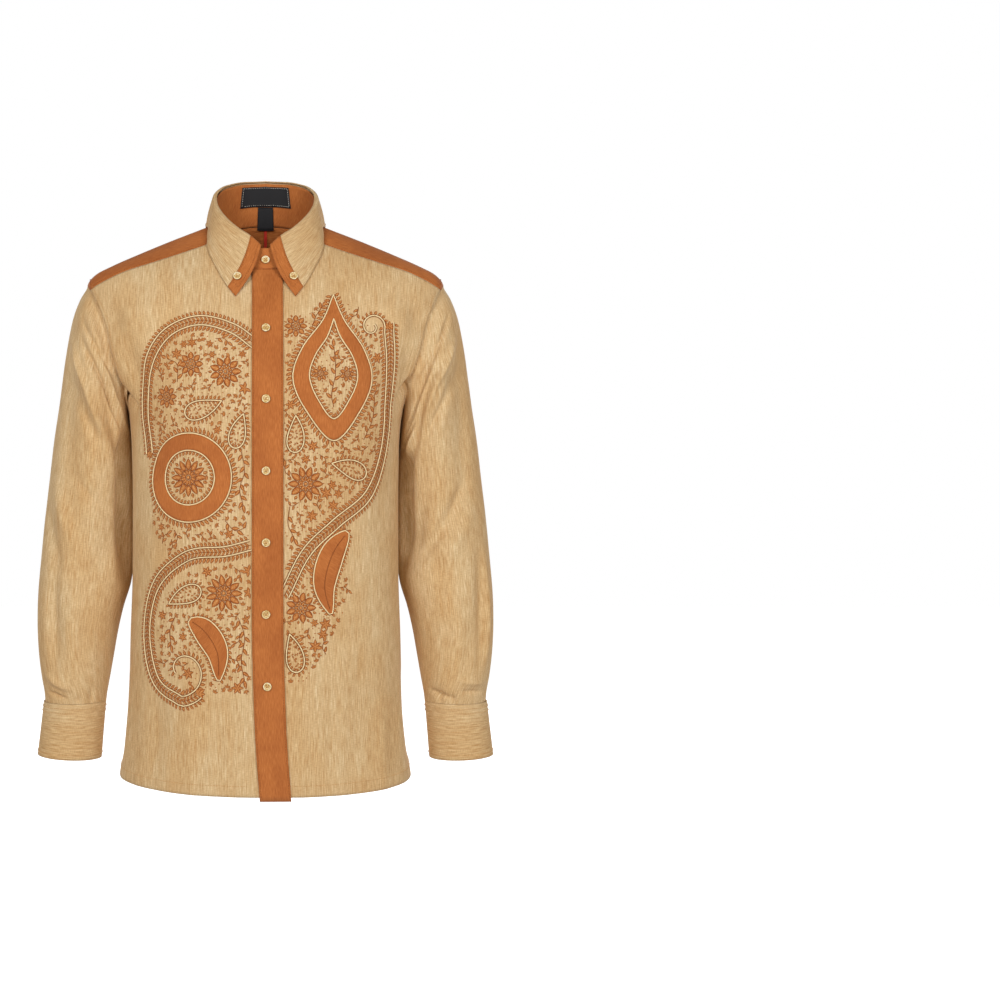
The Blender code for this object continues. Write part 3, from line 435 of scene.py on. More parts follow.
def body_point(angle, height, out=0.0):
    """A point of the body's outer face, folds included, moved out along the cloth's normal."""
    angle, height = np.broadcast_arrays(np.asarray(angle, float), np.asarray(height, float))
    turn_step, height_step = 0.004, 0.001
    across = body_base(angle + turn_step, height) - body_base(angle - turn_step, height)
    upward = body_base(angle, height + height_step) - body_base(angle, height - height_step)
    normal = unit(np.cross(across, upward))
    folds = BODY_FOLDS.copy()
    folds[:, [0, 2]] = np.radians(folds[:, [0, 2]]) * GIRTH_RADIUS
    lift = creases(folds, angle * GIRTH_RADIUS, height)
    return body_base(angle, height) + normal * (lift + out)[..., None]


def angle_at(x, height, back=False):
    """The body angle of the point that lies this far to the side at this height."""
    depth = smooth(BODY, 3 if back else 2, height)
    power = BACK_SQUARENESS if back else FRONT_SQUARENESS
    share = np.clip(np.abs(x) / smooth(BODY, 1, height), 0, 1)
    y = depth * (1 - share**power) ** (1 / power)
    return np.arctan2(x, -y if back else y)


def neck_height(angle):
    """Height at which the body's cloth meets the oval of the neck seam, by halving."""
    target = neck_radius(angle)
    low, high = np.full(np.shape(angle), NECK_LOWEST), np.full(np.shape(angle), NECK_HIGHEST)
    for _ in range(NECK_HALVINGS):
        middle = (low + high) / 2
        outside = section_radius(angle, middle) > target
        low, high = np.where(outside, middle, low), np.where(outside, high, middle)
    return (low + high) / 2


def neck_radius(angle):
    depth = np.where(np.cos(angle) > 0, NECK_FRONT, NECK_BACK)
    return 1 / np.hypot(np.sin(angle) / NECK_HALF_WIDTH, np.cos(angle) / depth)


def armhole(turn, scale=1.0):
    """Body angle and height round the armhole: turn 0 is its top, 90 its front and 180 its foot."""
    turn = np.radians(turn)
    height = ARMHOLE_MIDDLE + ARMHOLE_HALF_HEIGHT * scale * np.cos(turn)
    front = np.sin(turn) > 0
    y = np.where(front, ARMHOLE_FRONT, ARMHOLE_BACK) * scale * np.abs(np.sin(turn))
    depth = np.where(front, smooth(BODY, 2, height), smooth(BODY, 3, height))
    power = np.where(front, FRONT_SQUARENESS, BACK_SQUARENESS)
    x = smooth(BODY, 1, height) * (1 - (y / depth) ** power) ** (1 / power)
    return np.stack([np.arctan2(x, np.where(front, y, -y)), height], -1)


def yoke_front_seam(share):
    """Body angle and height along the seam from the neck to the armhole."""
    corner = armhole(YOKE_FRONT_TURN)
    x = YOKE_FRONT[0, 0] + share * (YOKE_FRONT[-1, 0] - YOKE_FRONT[0, 0])
    height = smooth(YOKE_FRONT, 1, x)
    line = np.stack([angle_at(x, height), height], -1)
    start = neck_line(np.radians(YOKE_NECK_ANGLE))
    ends = (1 - share)[..., None] * (start - line[:1]) + share[..., None] * (corner - line[-1:])
    return line + ends


def neck_line(angle):
    return np.stack([angle, neck_height(angle)], -1)


def yoke_back_seam(share):
    """Body angle and height along the back seam from its armhole end to the middle."""
    corner = armhole(YOKE_BACK_TURN)
    angle = corner[0] + share * (math.pi - corner[0])
    height = corner[1] + (YOKE_BACK_MIDDLE - corner[1]) * np.sin(share * math.pi / 2)
    return np.stack([angle, height], -1)


def coons(bottom, top, left, right):
    """A patch filled in between its four edges, each a row of (angle, height) pairs."""
    u = np.linspace(0, 1, len(bottom))[None, :, None]
    v = np.linspace(0, 1, len(left))[:, None, None]
    across = (1 - u) * left[:, None] + u * right[:, None]
    upward = (1 - v) * bottom[None] + v * top[None]
    corners = (1 - v) * ((1 - u) * bottom[0] + u * bottom[-1]) + v * ((1 - u) * top[0] + u * top[-1])
    return across + upward - corners


def front_panel(start_x):
    """(angle, height) grid of one front, from its edge at the middle to the side seam."""
    share = np.linspace(0, 1, FRONT_NECK_COLUMNS + FRONT_YOKE_COLUMNS + 1)
    neck_start = start_angle(start_x, NECK_EDGE_HEIGHT)
    neck = neck_line(np.linspace(neck_start, math.radians(YOKE_NECK_ANGLE), FRONT_NECK_COLUMNS + 1))
    top = np.concatenate([neck[:-1], yoke_front_seam(np.linspace(0, 1, FRONT_YOKE_COLUMNS + 1))])
    chest_start = start_angle(start_x, CHEST_FRONT)
    chest = np.stack([
        chest_start + share * (math.pi / 2 - chest_start),
        CHEST_FRONT + (CHEST_SIDE - CHEST_FRONT) * share**2,
    ], -1)
    right = armhole(np.linspace(180, YOKE_FRONT_TURN, FRONT_ARM_ROWS + 1))
    left_height = np.linspace(CHEST_FRONT, neck[0, 1], FRONT_ARM_ROWS + 1)
    left = np.stack([start_angle(start_x, left_height), left_height], -1)
    left[-1] = neck[0]
    upper = coons(chest, top, left, right)
    drop = np.linspace(0, 1, LOW_ROWS + 1)[:-1, None]
    hem = HEM_FRONT + (HEM_SIDE - HEM_FRONT) * share**3
    low_height = hem + (chest[:, 1] - hem) * drop
    low_start = start_angle(start_x, low_height[:, :1])
    low_angle = low_start + share * (math.pi / 2 - low_start)
    return np.concatenate([np.stack([low_angle, low_height], -1), upper])


def start_angle(start_x, height):
    """Angle of a front's edge, which keeps its distance from the placket's middle line.

    The front that passes under the placket starts on the far side of that line.
    """
    return angle_at(start_x + np.sign(start_x) * smooth(PLACKET_LINE, 1, height), height)


def back_panel():
    """(angle, height) grid of half the back, from its middle to the side seam."""
    share = np.linspace(0, 1, BACK_COLUMNS + 1)
    angle = math.pi - share * math.pi / 2
    chest = np.stack([angle, CHEST_BACK + (CHEST_SIDE - CHEST_BACK) * share**2], -1)
    top = yoke_back_seam(1 - share)
    right = armhole(np.linspace(-180, YOKE_BACK_TURN, BACK_ARM_ROWS + 1))
    left = np.stack([
        np.full(BACK_ARM_ROWS + 1, math.pi),
        np.linspace(CHEST_BACK, YOKE_BACK_MIDDLE, BACK_ARM_ROWS + 1),
    ], -1)
    upper = coons(chest, top, left, right)
    drop = np.linspace(0, 1, LOW_ROWS + 1)[:-1, None]
    hem = HEM_BACK + (HEM_SIDE - HEM_BACK) * share**3
    low = np.stack([angle + 0 * drop, hem + (chest[:, 1] - hem) * drop], -1)
    return np.concatenate([low, upper])


def yoke_panel():
    """(angle, height) grid of half the yoke, from its front seam to the middle of the back."""
    columns = YOKE_ARM_COLUMNS + YOKE_BACK_COLUMNS
    neck = neck_line(np.linspace(math.radians(YOKE_NECK_ANGLE), math.pi, columns + 1))
    arm = armhole(np.linspace(YOKE_FRONT_TURN, YOKE_BACK_TURN, YOKE_ARM_COLUMNS + 1))
    outer = np.concatenate([arm[:-1], yoke_back_seam(np.linspace(0, 1, YOKE_BACK_COLUMNS + 1))])
    front = yoke_front_seam(np.linspace(0, 1, YOKE_ROWS + 1))
    middle = np.stack([
        np.full(YOKE_ROWS + 1, math.pi),
        np.linspace(neck[-1, 1], YOKE_BACK_MIDDLE, YOKE_ROWS + 1),
    ], -1)
    return coons(neck, outer, front, middle)


def on_body(grid, side=1, out=0.0):
    """The 3-D points of an (angle, height) grid, on the wearer's left (1) or right (-1)."""
    return body_point(side * grid[..., 0], grid[..., 1], out)


def trimmed(points, gap=SEAM_GAP, wrap=False):
    """The grid with its edges drawn in along the cloth, so that pieces don't touch at a seam."""
    points = points.copy()
    points[0] += unit(points[1] - points[0]) * gap
    points[-1] += unit(points[-2] - points[-1]) * gap
    if not wrap:
        points[:, 0] += unit(points[:, 1] - points[:, 0]) * gap
        points[:, -1] += unit(points[:, -2] - points[:, -1]) * gap
    return points


def sleeve_ring(number, turn):
    """Points of one ring of the sleeve: 0 is the armhole, 1 lies just past it on the same form."""
    if number < 2:
        scale = 1.0 if number == 0 else CAP_RING_SCALE
        place = armhole(turn, scale)
        return body_point(place[..., 0], place[..., 1])
    inner_x, inner_z, outer_x, outer_z, depth, middle_y = SLEEVE[number - 2]
    turn = np.radians(turn)
    return np.stack([
        (inner_x + outer_x) / 2 + (outer_x - inner_x) / 2 * np.cos(turn),
        middle_y - depth * np.sin(turn),
        (inner_z + outer_z) / 2 + (outer_z - inner_z) / 2 * np.cos(turn),
    ], -1)


def sleeve_point(ring, turn, out=0.0, finer=()):
    """A point of the left sleeve's outer face, at a place between its rings, folds included."""
    turn = np.asarray(turn, float)
    last = len(SLEEVE) + 1

    def base(at, turns):
        low = int(min(max(math.floor(at), 0), last - 1))
        t = at - low
        before, start = sleeve_ring(max(low - 1, 0), turns), sleeve_ring(low, turns)
        end, after = sleeve_ring(low + 1, turns), sleeve_ring(min(low + 2, last), turns)
        lead, follow = (end - before) / 2, (after - start) / 2
        bend = t * (1 - t) * ((1 - t) * (lead - end + start) - t * (follow - end + start))
        return start + (end - start) * t + bend

    around = base(ring, turn + 0.5) - base(ring, turn - 0.5)
    down = base(min(ring + 0.02, last), turn) - base(max(ring - 0.02, 0), turn)
    normal = unit(np.cross(around, down))
    folds = np.array([*SLEEVE_FOLDS, *BOTH_SLEEVE_CREASES, *finer])
    folds[len(SLEEVE_FOLDS):, 5] *= CREASE_DEPTH
    folds[:, [0, 2]] *= SLEEVE_SPACING
    folds[:, [1, 3]] = np.radians(folds[:, [1, 3]]) * SLEEVE_RADIUS
    turned = np.radians((turn + 180) % 360 - 180) * SLEEVE_RADIUS
    lift = creases(folds, ring * SLEEVE_SPACING + 0 * turn, turned)
    settle = min(max(ring - 1, 0), 1)
    return base(ring, turn) + normal * (settle * lift + out)[..., None]


def mirrored(points, side):
    return points * np.array([side, 1, 1])


def cuff_point(turn, height, out=0.0):
    """A point of the left cuff's outer face; the end on top lies over the end underneath."""
    turn = np.asarray(turn, float)
    lap = np.clip((CUFF_LAP_START - turn) / CUFF_LAP_LENGTH, 0, 1)
    lift = out + LAP_HEIGHT * lap * lap * (3 - 2 * lap)
    radians = np.radians(turn)
    half_width, half_depth = smooth(CUFF, 1, height) + lift, smooth(CUFF, 2, height) + lift
    return np.stack([
        smooth(CUFF, 3, height) + half_width * np.cos(radians),
        smooth(CUFF, 4, height) - half_depth * np.sin(radians),
        height + CUFF_TILT * np.cos(radians) * (CUFF[-1, 0] - height) / (CUFF[-1, 0] - CUFF[0, 0]),
    ], -1)


def fold_ring(angle, height, scale=1.0):
    depth = np.where(np.cos(angle) > 0, FOLD_FRONT, FOLD_BACK)
    radius = scale / np.hypot(np.sin(angle) / FOLD_HALF_WIDTH, np.cos(angle) / depth)
    return np.stack([radius * np.sin(angle), -radius * np.cos(angle), height], -1)


def fold_height(angle):
    """Height of the collar's top fold at this angle round the neck."""
    return smooth(COLLAR_FOLD[:, 1:], 1, np.degrees(np.abs(angle)))


def stand_point(angle, share, out=0.0, lapped=True):
    """A point of the collar stand's outer face, from the neck seam (0) to its top edge (1)."""
    wrapped = (angle + math.pi) % (2 * math.pi) - math.pi
    radius = neck_radius(wrapped)
    low = np.stack([radius * np.sin(wrapped), -radius * np.cos(wrapped), neck_height(wrapped)], -1)
    low[..., 2] += STAND_RAISE
    high = fold_ring(wrapped, fold_height(wrapped) - STAND_BELOW_FOLD, STAND_TOP_SCALE)
    outward = np.stack([np.sin(wrapped), -np.cos(wrapped), 0 * wrapped], -1)
    lap = np.clip((STAND_LAP_START - np.degrees(angle)) / STAND_LAP_LENGTH, 0, 1) if lapped else 0
    lift = LAP_HEIGHT * lap * lap * (3 - 2 * lap) + out
    return low + (high - low) * share + outward * (lift + 0 * angle)[..., None]


def leaf_half(places, side, shares=LEAF_SHARES):
    """Rows of one half of the collar leaf, from inside its top fold out and down to its edge."""
    fold_angle, height = np.radians(smooth(COLLAR_FOLD, 1, places)), smooth(COLLAR_FOLD, 2, places)
    angle, edge_height, lift = (smooth(COLLAR_EDGE, column, places) for column in (1, 2, 3))
    edge = body_point(np.radians(angle), edge_height, lift)
    rows = [fold_ring(fold_angle, height - drop, scale) for scale, drop in FOLD_ROWS]
    outside = rows[-1]
    outward = unit(edge * np.array([1, 1, 0]))
    bow = COLLAR_BOW * np.clip(1 - places / COLLAR_FRONT_END, 0, 1)
    for share in shares:
        swell = math.sin(math.pi * share)
        row = outside + (edge - outside) * share + outward * COLLAR_BULGE * swell
        row[..., 0] -= bow * swell
        rows.append(row)
    return mirrored(np.stack(rows), side)


# Looks

# ribs of thread across one embroidered motif
MOTIF_RIBS = 12


def linear(colour):
    """A linear colour, with alpha, from its sRGB hex value."""
    parts = [int(colour[i : i + 2], 16) / 255 for i in (1, 3, 5)]
    return (*[c / 12.92 if c <= 0.04045 else ((c + 0.055) / 1.055) ** 2.4 for c in parts], 1)


def add(tree, kind, inputs=None, stops=(), **settings):
    """A node with its settings; an input gets a value or the output it reads, a ramp its hex colours."""
    node = tree.nodes.new(kind)
    for name, value in settings.items():
        setattr(node, name, value)
    for name, value in (inputs or {}).items():
        if isinstance(value, bpy.types.NodeSocket):
            tree.links.new(value, node.inputs[name])
        else:
            node.inputs[name].default_value = value
    if stops:
        elements = node.color_ramp.elements
        while len(elements) < len(stops):
            elements.new(0.5)
        for element, (place, colour) in zip(elements, stops):
            element.position, element.color = place, linear(colour)
    return node


def new_look(name, roughness, sheen=0.0):
    """A material, its node tree and its shader."""
    look = bpy.data.materials.new(name)
    look.use_nodes = True
    tree = look.node_tree
    shader = tree.nodes["Principled BSDF"]
    shader.inputs["Roughness"].default_value = roughness
    shader.inputs["Sheen Weight"].default_value = sheen
    shader.inputs["Specular IOR Level"].default_value = 0.2
    shader.inputs["Sheen Roughness"].default_value = 0.55
    return look, tree, shader


def threads(tree, across_mm, along_mm, detail=2.0, seed=0.0):
    """Noise drawn out along the cloth's threads, read from its UV map, which is in metres."""
    place = add(tree, "ShaderNodeUVMap", uv_map="UVMap").outputs["UV"]
    scale = (1000 / across_mm, 1000 / along_mm, 1)
    shift = (seed, seed * 1.7, 0)
    mapped = add(tree, "ShaderNodeMapping", {"Vector": place, "Scale": scale, "Location": shift})
    inputs = {"Vector": mapped.outputs["Vector"], "Scale": 1.0, "Detail": detail, "Roughness": 0.55}
    return add(tree, "ShaderNodeTexNoise", inputs, noise_dimensions="2D").outputs["Fac"]


def shaded(tree, tone, pattern, stops):
    """The tone, darkened by the shades that this pattern has between its stops.

    A Mix node's colour sockets have the numbers 6 and 7, and its result the number 2.
    """
    shades = add(tree, "ShaderNodeValToRGB", {"Fac": pattern}, stops).outputs["Color"]
    inputs = {0: 1.0, 6: tone, 7: shades}
    return add(tree, "ShaderNodeMix", inputs, data_type="RGBA", blend_type="MULTIPLY").outputs[2]


def surfaced(look, tree, shader, tone, *reliefs):
    """The finished material: its tone, raised by each (pattern, millimetres, strength) in turn."""
    if isinstance(tone, bpy.types.NodeSocket):
        tree.links.new(tone, shader.inputs["Base Color"])
    else:
        shader.inputs["Base Color"].default_value = tone
    below = {}
    for pattern, height_mm, strength in reliefs:
        inputs = {"Height": pattern, "Distance": height_mm / 1000, "Strength": strength, **below}
        below = {"Normal": add(tree, "ShaderNodeBump", inputs).outputs["Normal"]}
    for normal in below.values():
        tree.links.new(normal, shader.inputs["Normal"])
    return look


def slub_linen():
    """Plain-woven linen of uneven yarn: fine slubs run down the cloth in cream, tan and rust tones."""
    look, tree, shader = new_look("slub_linen", 0.9, 0.06)
    # slubs are drawn 0.9 mm wide, where the real yarn is 0.5 mm, and 10 to 40 mm long
    slub = threads(tree, 0.9, 17, 3.0)
    stops = [(0.30, "#C3A071"), (0.46, "#D0B085"), (0.56, "#D9BC91"), (0.72, "#E5CCA3")]
    tone = add(tree, "ShaderNodeValToRGB", {"Fac": slub}, stops).outputs["Color"]
    # rarer, thicker yarns dyed nearer to rust
    stops = [(0.58, "#000000"), (0.78, "#909090")]
    rare = add(tree, "ShaderNodeValToRGB", {"Fac": threads(tree, 1.2, 52, 1.0, 31.0)}, stops)
    inputs = {0: rare.outputs["Color"], 6: tone, 7: linear("#C79560")}
    tone = add(tree, "ShaderNodeMix", inputs, data_type="RGBA").outputs[2]
    # the weft shows as short pale bars, drawn 0.8 mm high instead of 0.5 mm
    weft = threads(tree, 5, 0.8, 1.0, 53.0)
    tone = shaded(tree, tone, weft, [(0.32, "#F0ECE6"), (0.62, "#FFFFFF")])
    # broad, faint clouds where the dye took more or less
    tone = shaded(tree, tone, threads(tree, 55, 160, 2.0, 11.0), [(0.38, "#F8EFE3"), (0.62, "#FFFFFF")])
    # bundles of darker yarns, which show as long soft streaks down the cloth
    tone = shaded(tree, tone, threads(tree, 2.0, 46, 2.0, 67.0), [(0.34, "#F7F0E6"), (0.58, "#FFFFFF")])
    crumple = threads(tree, 30, 100, 1.5, 83.0)
    return surfaced(look, tree, shader, tone, (slub, 0.3, 0.35), (weft, 0.3, 0.35), (crumple, 5, 0.26))


def rust_cotton():
    """Fine, evenly woven cotton dyed rust: flatter than the linen, with a faint cross weave."""
    look, tree, shader = new_look("rust_cotton", 0.8, 0.04)
    # yarns are drawn 0.9 mm wide, where the real ones are 0.3 mm
    stops = [(0.30, "#A85E2A"), (0.50, "#B3672F"), (0.70, "#BD7138")]
    tone = add(tree, "ShaderNodeValToRGB", {"Fac": threads(tree, 0.9, 9, 2.0)}, stops).outputs["Color"]
    # broad, faint clouds in the dye
    tone = shaded(tree, tone, threads(tree, 40, 60, 2.0, 9.0), [(0.35, "#F0EAE4"), (0.62, "#FFFFFF")])
    cross, crumple = threads(tree, 3.0, 1.0, 1.0, 47.0), threads(tree, 22, 34, 2.0, 83.0)
    return surfaced(look, tree, shader, tone, (cross, 0.3, 0.4), (crumple, 4, 0.3))


def satin_thread():
    """Rust embroidery thread: short matt stitches, with a painted highlight along each motif's ridge and
    painted shade round its outline.
    """
    look, tree, shader = new_look("rust_embroidery_thread", 0.75, 0.1)
    place = add(tree, "ShaderNodeUVMap", uv_map="UVMap").outputs["UV"]
    parts = add(tree, "ShaderNodeSeparateXYZ", {"Vector": place}).outputs
    # V runs from a motif's outline at 0 to its ridge at 1, U along it; the ramp paints shade at the outline
    # and a highlight along the ridge
    stops = [(0.0, "#743811"), (0.25, "#A05722"), (0.50, "#BF7434"), (1.0, "#D89A5A")]
    tone = add(tree, "ShaderNodeValToRGB", {"Fac": parts["Y"]}, stops).outputs["Color"]
    # stitches are 1.1 mm apart here, where the real thread is 0.4 mm
    where = add(tree, "ShaderNodeTexCoord").outputs["Object"]
    stitch = add(tree, "ShaderNodeTexNoise", {"Vector": where, "Scale": 900.0, "Detail": 1.0})
    tone = shaded(tree, tone, stitch.outputs["Fac"], [(0.36, "#D2B8A0"), (0.60, "#FFFFFF")])
    rib = add(tree, "ShaderNodeMath", {0: parts["X"], 1: 2 * math.pi * MOTIF_RIBS}, operation="MULTIPLY")
    wave = add(tree, "ShaderNodeMath", {0: rib.outputs[0]}, operation="SINE")
    return surfaced(look, tree, shader, tone, (wave.outputs[0], 0.2, 0.5))


def plain_look(name, colour, roughness, sheen=0.0, grain_mm=0.8):
    """Thread, tape and cord: one dyed colour with a fine grain."""
    look, tree, shader = new_look(name, roughness, sheen)
    place = add(tree, "ShaderNodeTexCoord").outputs["Object"]
    grain = add(tree, "ShaderNodeTexNoise", {"Vector": place, "Scale": 1000 / grain_mm})
    return surfaced(look, tree, shader, linear(colour), (grain.outputs["Fac"], 0.15, 0.5))


def polished_horn():
    """Turned pale horn, polished: amber clouds in cream, with painted shade a little in the dished middle,
    more in the turned ring at the foot of the rim and most at the rim's edge.
    """
    look, tree, shader = new_look("polished_horn", 0.28)
    shader.inputs["IOR"].default_value = 1.54
    shader.inputs["Coat Weight"].default_value = 0.25
    shader.inputs["Coat Roughness"].default_value = 0.15
    place = add(tree, "ShaderNodeTexCoord").outputs["Object"]
    inputs = {"Vector": place, "Scale": 210.0, "Detail": 3.0, "Distortion": 1.2}
    cloud = add(tree, "ShaderNodeTexNoise", inputs).outputs["Fac"]
    stops = [(0.34, "#CDAA6A"), (0.50, "#E8CF98"), (0.66, "#F6E9C8")]
    tone = add(tree, "ShaderNodeValToRGB", {"Fac": cloud}, stops).outputs["Color"]
    # V runs from the button's middle at 0 to its edge at 1
    place = add(tree, "ShaderNodeUVMap", uv_map="UVMap").outputs["UV"]
    parts = add(tree, "ShaderNodeSeparateXYZ", {"Vector": place})
    # painted shade: a little in the dish's hollow middle, more in the ring where the dish meets the rim, most
    # at the rim's outer edge
    dish = [(0.0, "#DDC8A4"), (0.55, "#F2E6CE"), (0.64, "#AC8A55"), (0.74, "#FFFFFF")]
    rim = [(0.9, "#FFFFFF"), (1.0, "#86622F")]
    tone = shaded(tree, tone, parts.outputs["Y"], dish + rim)
    return surfaced(look, tree, shader, tone)


LINEN = slub_linen()
RUST = rust_cotton()
SATIN = satin_thread()
CREAM_CORD = plain_look("cream_cotton_cord", "#EBD3A2", 0.75, 0.1)
LINEN_THREAD = plain_look("tan_sewing_thread", "#C2935C", 0.7)
RUST_THREAD = plain_look("rust_sewing_thread", "#8A4A1E", 0.7)
LABEL_THREAD = plain_look("white_sewing_thread", "#CFC9BE", 0.7)
LABEL = plain_look("black_woven_satin_tape", "#161416", 0.6, 0.1, 0.6)
RED_TAPE = plain_look("red_woven_tape", "#D23A2A", 0.6, 0.1, 0.6)
HORN = polished_horn()


# Cloth


def new_mesh(name, points, edges=(), faces=()):
    mesh = bpy.data.meshes.new(name)
    mesh.from_pydata(np.asarray(points).tolist(), edges, faces)
    return mesh


def put(name, data):
    """An object of this mesh, light or camera, put into the scene."""
    made = bpy.data.objects.new(name, data)
    bpy.context.scene.collection.objects.link(made)
    return made


def outward_of(points, flip):
    """The outward direction at each point of a grid."""
    across, down = np.gradient(points, axis=1), np.gradient(points, axis=0)
    return unit(np.cross(across, down)) * (-1 if flip else 1)


def grain(points, crosswise=False):
    """UV in metres: distance along each row from its start, and down the middle column."""
    step = np.linalg.norm(np.diff(points, axis=1), axis=-1)
    across = np.concatenate([np.zeros((len(points), 1)), np.cumsum(step, axis=1)], 1)
    column = points[:, points.shape[1] // 2]
    fall = np.concatenate([[0], np.cumsum(np.linalg.norm(np.diff(column, axis=0), axis=-1))])
    along = fall[:, None] + 0 * across
    return np.stack([along, across] if crosswise else [across, along], -1)


def body_grain(grid, middle, side):
    """UV in metres: distance round the body from its middle line, and height, so threads hang straight."""
    share = np.linspace(0, 1, 25)[:, None, None]
    line = body_base(middle + (grid[..., 0] - middle) * share, grid[..., 1] + 0 * share)
    across = np.linalg.norm(np.diff(line, axis=0), axis=-1).sum(0)
    return np.stack([side * across, grid[..., 1]], -1)


def yoke_grain(points):
    """UV in metres with threads that run straight from shoulder to shoulder."""
    over = np.arctan2(points[..., 2] - YOKE_AXIS_HEIGHT, points[..., 1]) * YOKE_AXIS_RADIUS
    return np.stack([over, points[..., 0]], -1)


def sleeve_grain(points, side):
    """UV in metres: distance round the sleeve from its outer line, and along its middle line."""
    points = mirrored(np.concatenate([points, points[:, :1]], 1), side)
    top, foot = (np.array(end) for end in SLEEVE_AXIS)
    down = (foot - top) / np.hypot(*(foot - top))
    flat = points[..., [0, 2]] - top
    along = flat @ down
    aside = flat @ np.array([-down[1], down[0]])
    rings = (SLEEVE[:, [0, 1]] + SLEEVE[:, [2, 3]]) / 2 - top
    place = rings @ down
    radius = (np.hypot(SLEEVE[:, 2] - SLEEVE[:, 0], SLEEVE[:, 3] - SLEEVE[:, 1]) / 2 + SLEEVE[:, 4]) / 2
    middle = np.interp(along, place, SLEEVE[:, 5])
    turn = np.unwrap(np.arctan2(middle - points[..., 1], aside), axis=1)
    turn -= 2 * math.pi * np.round(turn.mean(axis=1, keepdims=True) / (2 * math.pi))
    return np.stack([side * turn * np.interp(along, place, np.minimum(radius, SLEEVE_RADIUS)), along], -1)


def cloth(name, points, look, replaces, wall=WALL, wrap=False, flip=False, crosswise=False, uv=None):
    """A closed thin shell through a grid of points on the cloth's outer face."""
    if wrap:
        points = np.concatenate([points, points[:, :1]], 1)
    uv = grain(points, crosswise) if uv is None else uv
    rows, columns = points.shape[:2]
    index = np.arange(rows * columns).reshape(rows, columns)
    quads = np.stack([index[:-1, :-1], index[:-1, 1:], index[1:, 1:], index[1:, :-1]], -1).reshape(-1, 4)
    if flip:
        quads = quads[:, ::-1]
    mesh = new_mesh(name, points.reshape(-1, 3), faces=quads.tolist())
    layer = mesh.uv_layers.new(name="UVMap")
    layer.data.foreach_set("uv", uv.reshape(-1, 2)[quads.reshape(-1)].astype(np.float32).ravel())
    mesh.shade_smooth()
    mesh.materials.append(look)
    made = put(name, mesh)
    if wrap:
        merge_seam(mesh)
    solid = made.modifiers.new("cloth thickness", "SOLIDIFY")
    solid.thickness = wall
    solid.offset = -1
    solid.use_rim = True
    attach(made, "root")
    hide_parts(*replaces)
    return made


def merge_seam(mesh):
    """Joins the first and last columns of a tube, whose UVs still meet in a clean cut."""
    work = bmesh.new()
    work.from_mesh(mesh)
    bmesh.ops.remove_doubles(work, verts=work.verts, dist=0.00001)
    work.to_mesh(mesh)
    work.free()


def make_body():
    """Fronts, back, yoke and placket."""
    right, left = front_panel(FRONT_UNDER_EDGE), front_panel(FRONT_OVER_EDGE)
    for side, name, grid in ((-1, "right", right), (1, "left", left)):
        points = trimmed(on_body(grid, side, hem_rise(grid)), EDGE_GAP)
        uv = body_grain(grid, 0.0, side)
        cloth(f"front_{name}_cloth", points, LINEN, [f"front_{name}"], flip=side < 0, uv=uv)
    half = back_panel()
    rise = hem_rise(half)
    back = np.concatenate([on_body(half, 1, rise)[:, ::-1], on_body(half, -1, rise)[:, 1:]], 1)
    uv = np.concatenate([body_grain(half, math.pi, 1)[:, ::-1], body_grain(half, math.pi, -1)[:, 1:]], 1)
    cloth("back_cloth", trimmed(back, EDGE_GAP), LINEN, ["back"], uv=uv + BACK_UV)
    half_yoke = yoke_panel()
    yoke = np.concatenate([on_body(half_yoke, 1), on_body(half_yoke, -1)[:, -2::-1]], 1)
    cloth("yoke_cloth", trimmed(yoke, EDGE_GAP), RUST, ["yoke"], flip=True, uv=yoke_grain(yoke))
    make_placket(left[:, 0, 1])


def hem_rise(grid):
    """The turned-up hem makes the cloth's lowest 15 mm a little thicker."""
    above = grid[..., 1] - grid[:1, :, 1]
    return HEM_RISE * np.clip((HEM_TURNING + HEM_STEP - above) / HEM_STEP, 0, 1)


def make_placket(edge_heights):
    height = edge_heights.copy()[:, None]
    height[0] -= PLACKET_DROP
    height[-1] = neck_height(np.zeros(1)) - 2 * SEAM_GAP
    offset = np.linspace(-PLACKET_WIDTH / 2, PLACKET_WIDTH / 2, PLACKET_COLUMNS + 1)[None, :]
    angle = angle_at(smooth(PLACKET_LINE, 1, height) + offset, height)
    points = body_point(angle, height, LAP_HEIGHT)
    cloth("front_placket_cloth", points, RUST, ["front_placket"])


